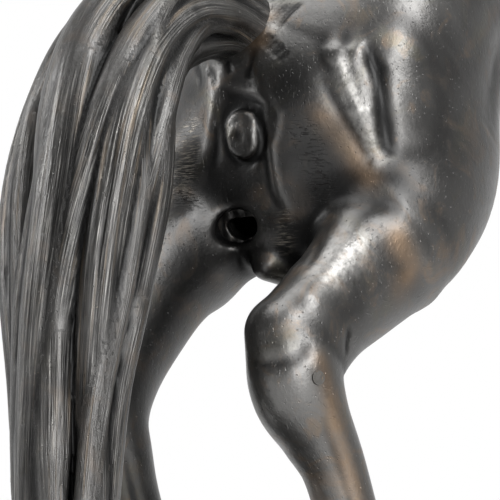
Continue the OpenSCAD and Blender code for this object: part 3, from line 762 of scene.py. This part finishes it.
def shape_front(clay):
    """The muscles of the shoulders, chest, neck and forelegs."""
    # shoulders and upper arms
    clay.pair((96, 34, 290), 9, (124, 30, 262), 8, 4)
    clay.pair((124, 27, 300), 9, (138, 24, 284), 9, 4)
    clay.pair((112, 33, 276), 8, (132, 31, 268), 8, 4)
    # breast, and the long muscles of the neck
    clay.pair((140, 9, 300), 8, (150, 11, 286), 8, 4)
    clay.pair((118, 16, 344), 7, (131, 11, 378), 6, 3)
    clay.pair((128, 15, 338), 8, (136, 10.5, 362), 7, 3)
    # forearms, and the bones at the front and the back of the knees
    for rows in (FORE_RIGHT, FORE_LEFT):
        a, b = np.array(rows[2][:3], float), np.array(rows[4][:3], float)
        side = np.array([0, math.copysign(6, rows[2][1]), 3])
        clay.bone(a + side, 7, b + side * 0.6, 4, 2)
    for t, angle in ((5.05, 90), (5, 270)):
        for rows in (FORE_RIGHT, FORE_LEFT):
            knee = skin_at(rows, t, angle, -3.4)
            clay.bone(knee, 3.6, knee + (0, 0, -3), 3.2, 2)


FRONT_STROKES = both_sides([
    # behind and in front of the shoulder
    ([(102, 42, 250), (108, 41, 264), (114, 38, 284), (118, 33, 304), (114, 26, 324)], 4.2, -1.1, 0.5),
    ([(122, 39, 256), (130, 38, 270), (136, 34, 286), (138, 28, 304)], 3.6, -1, 0.5),
    # up the neck
    ([(132, 17, 318), (138, 13, 336), (143, 9, 356), (150, 8, 380), (158, 7, 400)], 3.6, -1.1, 0.6),
    ([(104, 26, 322), (110, 21, 344), (117, 16, 368), (124, 13, 394)], 4.6, -0.8, 0.6),
    # girth and ribs, and down the breast
    ([(84, 45, 256), (94, 44, 244), (104, 41, 232), (112, 36, 222)], 3.8, -0.7, 0.5),
    ([(72, 45, 266), (82, 45, 250), (92, 44, 236), (102, 40, 224)], 3.4, -0.45, 0.5),
    ([(60, 44, 260), (71, 44.5, 243), (82, 43, 228), (94, 39, 216)], 3.4, -0.4, 0.5),
    ([(154, 2, 324), (156, 1.5, 304), (150, 1, 280)], 2.2, -1, 0.5),
]) + [
    # creases round the knees, fetlocks and coronets, tendons of the cannons, and muscles of the forearms
    row for rows in (FORE_RIGHT, FORE_LEFT) for row in (
        *[(ring(rows, t), radius, height, 0) for t, radius, height in (
            (4.35, 1.1, -0.5), (5.7, 1.1, -0.5), (9.8, 0.9, -0.45), (11.1, 0.8, 0.5), (11.45, 0.8, -0.6))],
        *[([skin_at(rows, t, angle) for t in (6, 7, 8)], 1.1, -0.5) for angle in (330, 210)],
        *[([skin_at(rows, t, angle) for t in (1.6, 2.4, 3.4, 4.2)], 1.5, -0.8) for angle in (20, 160)],
    )
]


def build_front():
    """The forehand, the neck and both forelegs."""
    clay = Clay([22, -56, 178], [226, 56, 448], 0.85)
    shape_horse(clay)
    shape_front(clay)
    skin = Skin(clay, 9)
    skin.strokes(FRONT_STROKES)
    mesh = new_mesh("front", skin, bronze_layers(skin))
    cuts = [(TRUNK, WAIST), (FORE_RIGHT, 2), (FORE_LEFT, 2.8), (NECK, 2.4), (NECK, 6)]
    wanted = {"forehand": (92, -44, 262), "neck": (124, 17, 370), "right_foreleg": (200, -27, 242),
              "left_foreleg": (201, 27, 267)}
    return cut_pieces(mesh, cuts, wanted)


def shape_head(clay):
    """The ears, eyes, cheeks, muzzle and forelock."""
    for side in (-1, 1):
        # the ear, hollow in front
        clay.chain([(147, side * 7, 434), (146.5, side * 8.2, 444), (148.5, side * 9, 452),
                    (151.5, side * 9, 459)], [4.2, 4.2, 2.9, 0.9], 1.2)
        clay.chain([(151.5, side * 9.5, 441), (151.8, side * 10.2, 447), (152.6, side * 9.8, 454)],
                   [2.2, 2.3, 0.8], 0.8, carve=True)
        # the bone over the eye, the socket, the ball and its lids
        clay.bone((166, side * 11, 424), 4, (175, side * 11, 417), 3.2, 2.5)
        clay.bone((170.5, side * 14.6, 415), 3.4, (174, side * 13.6, 411.5), 3, 1.2, carve=True)
        clay.bone((171.5, side * 11.4, 414), 3.3, (172.2, side * 11.4, 413.2), 3.3, 0.4)
        clay.chain([(168.4, side * 12.6, 414), (171, side * 14.4, 417), (174.6, side * 13, 415.4)],
                   [0.7, 1.1, 0.7], 0.6)
        clay.chain([(168.8, side * 12.6, 412.6), (171.4, side * 13.6, 410.6), (174.6, side * 12.4, 412.4)],
                   [0.6, 0.8, 0.6], 0.6)
        # cheek, facial crest, nostril and lips
        clay.bone((163, side * 8, 408), 8.5, (168, side * 8, 402), 8, 2)
        clay.bone((177, side * 12, 404), 1.8, (189, side * 9.8, 388), 1.4, 2.5)
        clay.bone((208, side * 6.8, 361), 4.6, (211, side * 6.2, 355), 3.8, 2.2)
        clay.bone((211.5, side * 9.4, 360.5), 1.9, (212.5, side * 8.6, 355.5), 1.2, 0.7, carve=True)
    clay.bone((205, 0, 346.5), 5, (199, 0, 350), 5, 2.5)
    clay.bone((212.5, 0, 351), 5, (209, 0, 347), 5, 2)
    clay.limb([[160, 0, 436, -30, 3, 4], [172, 0, 426, -45, 2.5, 4]], 3)
    for k in range(7):
        start = np.array([150 + k * 0.6, -4.5 + 1.5 * k, 440 - abs(k - 3) * 0.6])
        bend = np.array([163, -5.5 + 1.8 * k, 438 - abs(k - 3)])
        points = [start, bend, (173, -6.5 + 2.1 * k, 428 - abs(k - 3) * 1.2),
                  (178, -5 + 1.6 * k, 416 + (k % 2) * 3)]
        clay.chain(*lock(points, 2.4, 0.6, 0.8, 40 + k), 0.5)


# Round the cheek, the mouth, the bridge of the nose, and under the crest of the cheek
HEAD_STROKES = both_sides([
    ([(170, 13.4, 396), (160, 13.5, 399), (154, 12.5, 408), (154, 12, 418)], 1.6, -1),
    ([(208.5, 6.5, 349), (203, 8.6, 351.5), (197.5, 9.2, 357)], 0.9, -1),
    ([(181, 9, 411), (193, 7, 392), (203, 6, 374)], 1.6, -0.6),
    ([(176, 14, 400), (188, 11, 384), (197, 9.5, 369)], 1.3, -0.6),
])


def build_head():
    """The head from the neck's upper joint."""
    clay = Clay([112, -24, 330], [222, 24, 464], 0.62)
    shape_horse(clay)
    shape_head(clay)
    skin = Skin(clay, 4)
    skin.strokes(HEAD_STROKES)
    mesh = new_mesh("head", skin, bronze_layers(skin, 20, 0.25))
    return cut_pieces(mesh, [(NECK, 6)], {"head": (190, -9.5, 384)})


def build_tail():
    """The tail from its tenon to the stone: a core with locks laid round it."""
    clay = Clay([-112, -26, -24], [-18, 46, 190], 0.78)
    core = [0.97, 0.92, 0.76, 0.62] + [0.58] * (len(TAIL) - 4)
    clay.limb([[*row[:4], row[4] * k, row[5] * k] for row, k in zip(TAIL, core)], 0.5)
    locks = tail_locks()
    for points, radii in locks:
        clay.chain(points, radii, 0.8)
    clay.button((-88, 8, -34), (0, 0, 1), 40, 14, 0.2, carve=True)
    skin = Skin(clay, 2)
    strands = combed(skin, locks, 9, 0.22)
    mesh = new_mesh("tail", skin, {**bronze_layers(skin, 14, 0.6), **strands})
    return cut_pieces(mesh, [([TAIL[0], TAIL[1]], 0.02)], {"tail": (-82, -12, 110)})


def build_mane():
    """The locks of the mane, which are riveted to the neck."""
    clay = Clay([78, -34, 322], [152, 26, 446], 0.7)
    locks = mane_locks()
    for points, radii in locks:
        clay.chain(points, radii, 0.35)
    skin = Skin(clay, 1)
    strands = combed(skin, locks, 8, 0.2)
    return new_mesh("mane", skin, {**bronze_layers(skin, 14, 0.6), **strands})


def build_vent_ring():
    """The ring let in round the vent: dished, worn, and flat along the top of its hole."""
    way = VENT_WAY
    clay = Clay(VENT - 10, VENT + 10, 0.28)
    oval(clay, VENT - way * 8, VENT + way * 8, 4.9, 6.4, 0.2)
    clay.button(VENT - way * 14, way, 16, 11, 0.2, carve=True)
    clay.button(VENT + way * 9.4, way, 16, 10, 0.2, carve=True)
    clay.bone(VENT + way * 13.4, 14.6, VENT + way * 13.4 + (0, 0.2, 0), 14.6, 0.4, carve=True)
    hole = Clay(VENT - 10, VENT + 10, 0.28)
    aside = np.array([0.4, -1, 0])
    oval(hole, VENT + aside - way * 10, VENT + aside + way * 10, 3.9, 4.7, 0.1)
    upward = np.array([0, 0, 1]) - way * way[2]
    upward /= np.linalg.norm(upward)
    hole.button(VENT + upward * 9.6, upward, 30, 7.4, 0.3, carve=True)
    clay.field = np.maximum(clay.field, -hole.field)
    skin = Skin(clay, 2)
    rng = np.random.default_rng(5)
    swing = sum(np.sin(skin.co @ rng.normal(0, 1.1, 3) + rng.uniform(0, 6)) for _ in range(6))
    skin.co += skin.normals * (0.07 * swing)[:, None]
    skin.refresh()
    return new_mesh("vent_ring", skin, bronze_layers(skin, 12, 0.2))


# ---- materials

class Finish:
    """A material and the few kinds of node that the finishes here are built from."""

    def __init__(self, name, **uniform):
        """A new material, with the values that are the same all over it set on the shader itself."""
        self.material = bpy.data.materials.new(name)
        self.material.use_nodes = True
        self.nodes = self.material.node_tree.nodes
        self.links = self.material.node_tree.links
        self.shader = self.nodes["Principled BSDF"]
        for socket, value in uniform.items():
            self.shader.inputs[socket.replace("_", " ")].default_value = value
        self.place = self.nodes.new("ShaderNodeTexCoord").outputs["Object"]

    def feed(self, socket, value):
        """Links a socket to another one, or sets it to a number or a colour."""
        if isinstance(value, bpy.types.NodeSocket):
            self.links.new(value, socket)
        elif isinstance(value, tuple) and len(value) == 3 and socket.type == "RGBA":
            socket.default_value = (*value, 1)
        else:
            socket.default_value = value

    def set(self, socket, value):
        """Feeds one of the shader's own sockets."""
        self.feed(self.shader.inputs[socket], value)

    def layer(self, name, output="Fac"):
        """A layer that was painted on the mesh."""
        node = self.nodes.new("ShaderNodeAttribute")
        node.attribute_name = name
        return node.outputs[output]

    def stretched(self, x, y, z, turn=(0, 0, 0), source=None):
        """The place on the object, or another vector, scaled and turned."""
        node = self.nodes.new("ShaderNodeMapping")
        node.inputs["Scale"].default_value = (x, y, z)
        node.inputs["Rotation"].default_value = [math.radians(angle) for angle in turn]
        self.links.new(source or self.place, node.inputs["Vector"])
        return node.outputs["Vector"]

    def noise(self, scale, detail=3, rough=0.55, place=None, twist=0):
        """A cloudy value from 0 to 1."""
        node = self.nodes.new("ShaderNodeTexNoise")
        self.links.new(place or self.place, node.inputs["Vector"])
        for name, value in (("Scale", scale), ("Detail", detail), ("Roughness", rough), ("Distortion", twist)):
            node.inputs[name].default_value = value
        return node.outputs["Fac"]

    def cells(self, scale):
        """The distance to the nearest of many scattered points."""
        node = self.nodes.new("ShaderNodeTexVoronoi")
        self.links.new(self.place, node.inputs["Vector"])
        node.inputs["Scale"].default_value = scale
        return node.outputs["Distance"]

    def ramp(self, value, low, high, a=0, b=1):
        """Maps low..high to a..b, clamped."""
        node = self.nodes.new("ShaderNodeMapRange")
        self.links.new(value, node.inputs["Value"])
        for name, number in (("From Min", low), ("From Max", high), ("To Min", a), ("To Max", b)):
            node.inputs[name].default_value = number
        return node.outputs["Result"]

    def math(self, kind, a, b=0):
        """One arithmetic operation on values or numbers."""
        node = self.nodes.new("ShaderNodeMath")
        node.operation = kind
        self.feed(node.inputs[0], a)
        self.feed(node.inputs[1], b)
        return node.outputs[0]

    def times(self, a, b):
        """The product of two values."""
        return self.math("MULTIPLY", a, b)

    def plus(self, a, b):
        """The sum of two values."""
        return self.math("ADD", a, b)

    def mix(self, amount, a, b):
        """The colour a where the amount is 0 and b where it is 1."""
        node = self.nodes.new("ShaderNodeMix")
        node.data_type = "RGBA"
        self.feed(node.inputs[0], amount)
        self.feed(node.inputs[6], a)
        self.feed(node.inputs[7], b)
        return node.outputs[2]

    def bump(self, height, distance, strength=1, over=None):
        """A normal that shows a height, on top of another normal if one is given."""
        node = self.nodes.new("ShaderNodeBump")
        node.inputs["Distance"].default_value = distance
        node.inputs["Strength"].default_value = strength
        self.links.new(height, node.inputs["Height"])
        if over is not None:
            self.links.new(over, node.inputs["Normal"])
        return node.outputs["Normal"]


# The shades of the bronze, from the hollows to touch-worn places with a painted highlight; DARK also serves as
# painted shade
DARK = (0.008, 0.008, 0.008)
BODY = (0.038, 0.037, 0.036)
WORN = (0.098, 0.096, 0.093)
RUBBED = (0.150, 0.102, 0.064)
OLIVE = (0.075, 0.070, 0.048)
POLISH_AND_PAINTED_HIGHLIGHT = (0.23, 0.225, 0.215)


def tool_marks(finish, shade, cloud):
    """What is painted on the hindquarters: rubbed places, painted highlights mixed with touch-worn polish,
    painted shade, ticks and file marks.
    """
    rubbed = finish.times(finish.layer("rubbed"), finish.ramp(cloud, 0.35, 0.6, 0.25, 0.8))
    shade = finish.mix(rubbed, shade, RUBBED)
    # painted highlight, partly polish: pale grey spots along this layer
    spots = finish.ramp(finish.noise(420, 4, 0.6), 0.3, 0.6, 0, 0.8)
    highlight_and_polish = finish.times(finish.layer("polish_and_painted_highlight"), spots)
    shade = finish.mix(highlight_and_polish, shade, POLISH_AND_PAINTED_HIGHLIGHT)
    # painted shade: darkens the places of this layer towards black
    shade = finish.mix(finish.times(finish.layer("painted_shade"), 0.78), shade, DARK)
    dashes = finish.noise(1, 2, 0.5, finish.stretched(480, 480, 2600))
    ticks = finish.times(finish.ramp(dashes, 0.56, 0.62), finish.layer("ticks"))
    lines = finish.noise(1, 2, 0.5, finish.stretched(300, 300, 2200, (0, 62, 20)))
    files = finish.times(finish.ramp(lines, 0.5, 0.62), finish.layer("filed"))
    shade = finish.mix(finish.times(ticks, 0.85), shade, (0.006, 0.005, 0.005))
    shade = finish.mix(finish.times(files, 0.55), shade, (0.20, 0.18, 0.15))
    normal = finish.bump(finish.times(ticks, -1), 0.00035)
    return shade, finish.bump(files, 0.00018, 0.9, normal)


def combing(finish, shade, relief):
    """Fine furrows along the locks of hair, pale on top and black between the locks."""
    strands, inside = finish.layer("strands", "Vector"), finish.layer("inside")
    comb = finish.noise(1, 2, 0.5, finish.stretched(2.6, 1.6, 1, source=strands))
    wide = finish.noise(1, 2, 0.5, finish.stretched(0.8, 0.9, 1, source=strands))
    comb, wide = (finish.plus(finish.times(finish.math("SUBTRACT", line, 0.5), inside), 0.5)
                  for line in (comb, wide))
    shade = finish.mix(finish.ramp(comb, 0.50, 0.36, 0, 0.5), shade, DARK)
    shade = finish.mix(finish.ramp(wide, 0.56, 0.70, 0, 0.5), shade, (0.115, 0.088, 0.060))
    shade = finish.mix(finish.ramp(comb, 0.56, 0.72, 0, 0.6), shade, (0.20, 0.195, 0.185))
    shade = finish.mix(finish.ramp(relief, -0.05, -0.6, 0, 0.9), shade, (0.003, 0.003, 0.003))
    return shade, finish.bump(comb, 0.0007, 0.6)


def bronze(name, warmth=0.5, hair=False, marked=False, tone=1):
    """Brown-black patina over bronze: black in the hollows, grey and rubbed brown on what stands up."""
    body, worn = (tuple(tone * part for part in shade) for shade in (BODY, WORN))
    finish = Finish(name, Metallic=0.92, Coat_Weight=0.12, Coat_Roughness=0.22)
    relief, fine = finish.layer("relief"), finish.layer("fine_relief")
    cloud = finish.noise(38, 4, 0.6, twist=0.6)
    patch = finish.noise(90, 5, 0.65, twist=1.2)
    speck = finish.noise(1500, 3, 0.6)
    raised = finish.plus(finish.times(relief, 0.8), finish.times(cloud, 0.6))
    raised = finish.plus(raised, finish.times(fine, 0.25))
    shade = finish.mix(finish.ramp(raised, -0.45, 0.28), DARK, body)
    shade = finish.mix(finish.ramp(raised, 0.30, 1), shade, worn)
    warm = finish.times(finish.ramp(patch, 0.52, 0.68, 0, warmth), finish.ramp(raised, 0.1, 0.75))
    shade = finish.mix(warm, shade, RUBBED)
    olive = finish.times(finish.ramp(finish.noise(52, 4, 0.6, twist=0.8), 0.55, 0.7, 0, warmth),
                        finish.ramp(raised, 0.15, 0.7))
    shade = finish.mix(olive, shade, OLIVE)
    shade = finish.mix(finish.ramp(speck, 0.68, 0.78, 0, 0.35), shade, (0.30, 0.25, 0.19))
    rough = finish.ramp(patch, 0.3, 0.75, 0.33, 0.46)
    rough = finish.plus(rough, finish.ramp(relief, 0.2, -0.8, 0, 0.16))
    pits = finish.ramp(finish.cells(620), 0, 0.16)
    scratch = finish.noise(240, 2, 0.5, finish.stretched(1, 9, 2.2, (20, 35, 50)))
    scratch = finish.ramp(scratch, 0.65, 0.73, 0, 1)
    normal = None
    if marked:
        shade, normal = tool_marks(finish, shade, cloud)
    if hair:
        shade, normal = combing(finish, shade, relief)
    normal = finish.bump(finish.noise(150, 4, 0.6), 0.0006, 0.22, normal)
    normal = finish.bump(finish.noise(900, 4, 0.6), 0.00018, 0.45, normal)
    normal = finish.bump(pits, 0.00016, 0.8, normal)
    normal = finish.bump(scratch, 0.00006, 0.7, normal)
    finish.set("Base Color", shade)
    finish.set("Roughness", finish.plus(rough, finish.times(scratch, 0.06)))
    finish.set("Normal", normal)
    return finish.material


def fitting(name, light, dark, rough, grain, warm=0):
    """A small turned or drawn metal part: fine turning marks, tarnish in patches, dents."""
    finish = Finish(name, Metallic=1)
    tarnish = finish.noise(260, 5, 0.65, twist=0.8)
    shade = finish.mix(finish.ramp(tarnish, 0.35, 0.7), light, dark)
    shade = finish.mix(finish.ramp(finish.noise(700, 3, 0.6), 0.6, 0.75, 0, warm), shade, (0.28, 0.16, 0.07))
    marks = finish.noise(1, 3, 0.6, finish.stretched(grain, grain, 6000))
    finish.set("Base Color", shade)
    finish.set("Roughness", finish.ramp(tarnish, 0.3, 0.75, rough, rough + 0.2))
    finish.set("Normal", finish.bump(finish.noise(1200, 3), 0.00008, 0.5, finish.bump(marks, 0.00006, 0.6)))
    return finish.material


def black_marble():
    """Polished black stone with pale veins."""
    finish = Finish("black_marble", Coat_Weight=0.4, Coat_Roughness=0.06)
    warped = finish.noise(14, 6, 0.62, twist=1.6)
    vein = finish.math("ABSOLUTE", finish.math("SUBTRACT", warped, 0.5))
    thin = finish.math("ABSOLUTE", finish.math("SUBTRACT", finish.noise(33, 6, 0.6, twist=2.4), 0.48))
    cloud = finish.noise(24, 5, 0.6)
    shade = finish.mix(finish.ramp(cloud, 0.35, 0.7), (0.010, 0.010, 0.011), (0.034, 0.034, 0.036))
    shade = finish.mix(finish.ramp(vein, 0.012, 0, 0, 0.75), shade, (0.42, 0.40, 0.37))
    shade = finish.mix(finish.ramp(thin, 0.006, 0, 0, 0.5), shade, (0.30, 0.27, 0.22))
    finish.set("Base Color", shade)
    finish.set("Roughness", finish.ramp(finish.noise(180, 4), 0.3, 0.8, 0.14, 0.32))
    finish.set("Normal", finish.bump(finish.noise(900, 3), 0.00005, 0.35))
    return finish.material


def green_felt():
    """Matt green baize with tufts and loose fibres."""
    finish = Finish("green_felt", Sheen_Weight=0.5, Sheen_Roughness=0.6)
    fuzz = finish.noise(2600, 4, 0.75)
    tuft = finish.noise(420, 5, 0.7, twist=0.8)
    shade = finish.mix(finish.ramp(tuft, 0.3, 0.7), (0.016, 0.060, 0.030), (0.032, 0.105, 0.052))
    shade = finish.mix(finish.ramp(fuzz, 0.6, 0.75, 0, 0.5), shade, (0.10, 0.19, 0.12))
    finish.set("Base Color", shade)
    finish.set("Roughness", finish.ramp(fuzz, 0.2, 0.8, 0.85, 1))
    normal = finish.bump(tuft, 0.0006, 0.5)
    finish.set("Normal", finish.bump(fuzz, 0.0004, 0.8, normal))
    return finish.material


# ---- the stone, the felt and the fittings

def softened(node, width):
    """A copy of a CAD node's mesh with its edges rounded."""
    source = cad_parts[node]
    bm = bmesh.new()
    bm.from_mesh(source.data)
    bmesh.ops.remove_doubles(bm, verts=bm.verts, dist=1e-6)
    bmesh.ops.dissolve_limit(bm, angle_limit=math.radians(1), verts=bm.verts, edges=bm.edges)
    sharp = [e for e in bm.edges if len(e.link_faces) == 2 and e.calc_face_angle(0) > math.radians(28)]
    bmesh.ops.bevel(bm, geom=sharp, offset=width, segments=3, affect="EDGES", clamp_overlap=True)
    for f in bm.faces:
        f.smooth = True
    mesh = bpy.data.meshes.new(node + "_soft")
    bm.to_mesh(mesh)
    bm.free()
    return mesh


def felt_mesh():
    """The felt under the stone, a stadium with a rounded, slightly uneven edge, and its flat size and area."""
    low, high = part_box("felt_pad")
    radius = (high.y - low.y) / 2
    straight = (high.x - low.x) / 2 - radius
    thick = high.z - low.z
    # each corner of the outline: the middle of its round end, and the way out from there
    outline = []
    for end in (1, -1):
        for k in range(49):
            angle = math.radians(-90 + 180 * k / 48)
            outline.append((end * straight, end * math.cos(angle), end * math.sin(angle)))
    bm = bmesh.new()
    rings = []
    for inset, height in ((0.0003, 0), (0.00005, 0.2), (0, 0.5), (0.00005, 0.8), (0.0003, 1)):
        loop = []
        for k, (middle, x, y) in enumerate(outline):
            away = radius - inset - 0.00012 * (1 + math.sin(k * 2.7) * math.sin(k * 0.9))
            loop.append(bm.verts.new((middle + x * away, y * away, low.z + thick * height)))
        rings.append(loop)
    count = len(outline)
    for a, b in zip(rings, rings[1:]):
        for k in range(count):
            bm.faces.new((a[k], a[(k + 1) % count], b[(k + 1) % count], b[k]))
    bm.faces.new(rings[-1])
    bm.faces.new(rings[0][::-1])
    bmesh.ops.recalc_face_normals(bm, faces=bm.faces)
    mesh = bpy.data.meshes.new("felt")
    bm.to_mesh(mesh)
    bm.free()
    return mesh, (2 * (straight + radius), 2 * radius), math.pi * radius**2 + 4 * straight * radius


clay_bronze = bronze("patinated_bronze", 0.5, marked=True, tone=0.9)
plain_bronze = bronze("patinated_bronze_plain", 0.45)
hair_bronze = bronze("combed_bronze", 0.15, hair=True, tone=0.75)
ring_bronze = bronze("vent_bronze", 0.2, tone=0.5)

rear = build_rear()
front = build_front()
head = build_head()
tail = build_tail()
show("hindquarters", rear["hindquarters"], clay_bronze, "hindquarters_casting")
show("right_hind_leg", rear["right_hind_leg"], clay_bronze, "hind_leg_right")
show("left_hind_leg", rear["left_hind_leg"], clay_bronze, "hind_leg_left")
show("forehand", front["forehand"], plain_bronze, "forehand_casting")
show("right_foreleg", front["right_foreleg"], plain_bronze, "foreleg_right")
show("left_foreleg", front["left_foreleg"], plain_bronze, "foreleg_left")
show("neck", front["neck"], plain_bronze, "neck_casting")
show("head", head["head"], plain_bronze, "head_casting")
show("tail", tail["tail"], hair_bronze, "tail_casting")
show("mane", build_mane(), hair_bronze, "mane_casting")
show("vent_ring", build_vent_ring(), ring_bronze, "vent_collar")
show("stone_base", softened("plinth", 0.0006), black_marble(), "plinth")
felt_shape, felt_flat, felt_area = felt_mesh()
felt = show("felt", felt_shape, green_felt(), "felt_pad")

pin_bronze = fitting("pin_bronze", (0.098, 0.094, 0.088), (0.048, 0.046, 0.043), 0.38, 900, 0.3)
steel = fitting("drawn_steel", (0.52, 0.52, 0.53), (0.33, 0.33, 0.34), 0.24, 300)
brass = fitting("brass", (0.70, 0.52, 0.24), (0.42, 0.29, 0.13), 0.24, 700, 0.2)
for material, nodes in (
        (pin_bronze, ("trunk_joint_pins", "neck_joint_pins", "leg_joint_pins", "tail_joint_pin", "mane_rivets",
                      "core_pin_plugs")),
        (steel, ("mounting_studs", "stud_washers")),
        (brass, ("stud_nuts",))):
    for node in nodes:
        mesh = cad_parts[node].data
        mesh.materials.clear()
        mesh.materials.append(material)


# ---- stage, light and camera

# The direction in plan in which the camera looks, and the point that the lamps face
LOOK = math.radians(40)
MIDDLE = (0, 0, 0.2)


def aim(thing, place, target):
    """Puts a lamp or a camera somewhere and turns it to a point."""
    thing.location = place
    thing.rotation_euler = (Vector(target) - Vector(place)).to_track_quat("-Z", "Y").to_euler()


def softbox(name, place, size, power):
    """A white rectangular lamp that faces the middle of the statuette."""
    data = bpy.data.lights.new(name, "AREA")
    data.shape = "RECTANGLE"
    data.size, data.size_y = size
    data.energy = power
    lamp = bpy.data.objects.new(name, data)
    bpy.context.scene.collection.objects.link(lamp)
    aim(lamp, place, MIDDLE)


def camera():
    """The view from behind and to the right, a little from below, close to the hindquarters."""
    climb, away = math.radians(12), 520
    focus = np.array([-35, 0, 136 + GROUND])
    forward = np.array([math.cos(LOOK) * math.cos(climb), math.sin(LOOK) * math.cos(climb), math.sin(climb)])
    right = np.array([math.sin(LOOK), -math.cos(LOOK), 0])
    up = np.cross(right, forward)
    place = (focus - forward * away + right * 2.7 - up * 31.6) * MM
    data = bpy.data.cameras.new("camera")
    data.sensor_width = 36
    data.lens = 138.672
    data.clip_start = 0.01
    lens = bpy.data.objects.new("camera", data)
    bpy.context.scene.collection.objects.link(lens)
    aim(lens, place, place + forward)
    bpy.context.scene.camera = lens


def pale_room(bright_way):
    """A studio that is white on one side and grey on the other."""
    world = bpy.data.worlds.new("pale_room")
    bpy.context.scene.world = world
    world.use_nodes = True
    nodes, links = world.node_tree.nodes, world.node_tree.links
    facing = nodes.new("ShaderNodeVectorMath")
    facing.operation = "DOT_PRODUCT"
    facing.inputs[1].default_value = bright_way
    links.new(nodes.new("ShaderNodeTexCoord").outputs["Generated"], facing.inputs[0])
    ramp = nodes.new("ShaderNodeMapRange")
    links.new(facing.outputs["Value"], ramp.inputs["Value"])
    for name, number in (("From Min", -0.4), ("From Max", 0.85), ("To Min", 0.1), ("To Max", 1)):
        ramp.inputs[name].default_value = number
    background = nodes["Background"]
    background.inputs["Color"].default_value = (1, 1, 1, 1)
    links.new(ramp.outputs["Result"], background.inputs["Strength"])


def floor():
    """The plain pale floor."""
    mesh = bpy.data.meshes.new("floor")
    mesh.from_pydata([(-60, -60, 0), (60, -60, 0), (60, 60, 0), (-60, 60, 0)], [], [(0, 1, 2, 3)])
    ground = bpy.data.objects.new("floor", mesh)
    bpy.context.scene.collection.objects.link(ground)
    material = bpy.data.materials.new("pale_floor")
    material.use_nodes = True
    shader = material.node_tree.nodes["Principled BSDF"]
    shader.inputs["Base Color"].default_value = (0.88, 0.88, 0.88, 1)
    shader.inputs["Roughness"].default_value = 0.6
    mesh.materials.append(material)


camera()
floor()
pale_room((math.cos(LOOK), math.sin(LOOK), 0))
softbox("right_softbox", (-0.05, -1.1, 0.85), (0.5, 0.75), 21)
softbox("low_softbox", (-0.45, -0.93, 0.2), (0.5, 0.38), 7.5)
softbox("left_softbox", (-0.8, 1, 0.7), (0.4, 0.8), 12)
softbox("top_softbox", (-0.4, -0.15, 1.35), (0.9, 0.9), 14)
bpy.context.scene.view_settings.view_transform = "Standard"
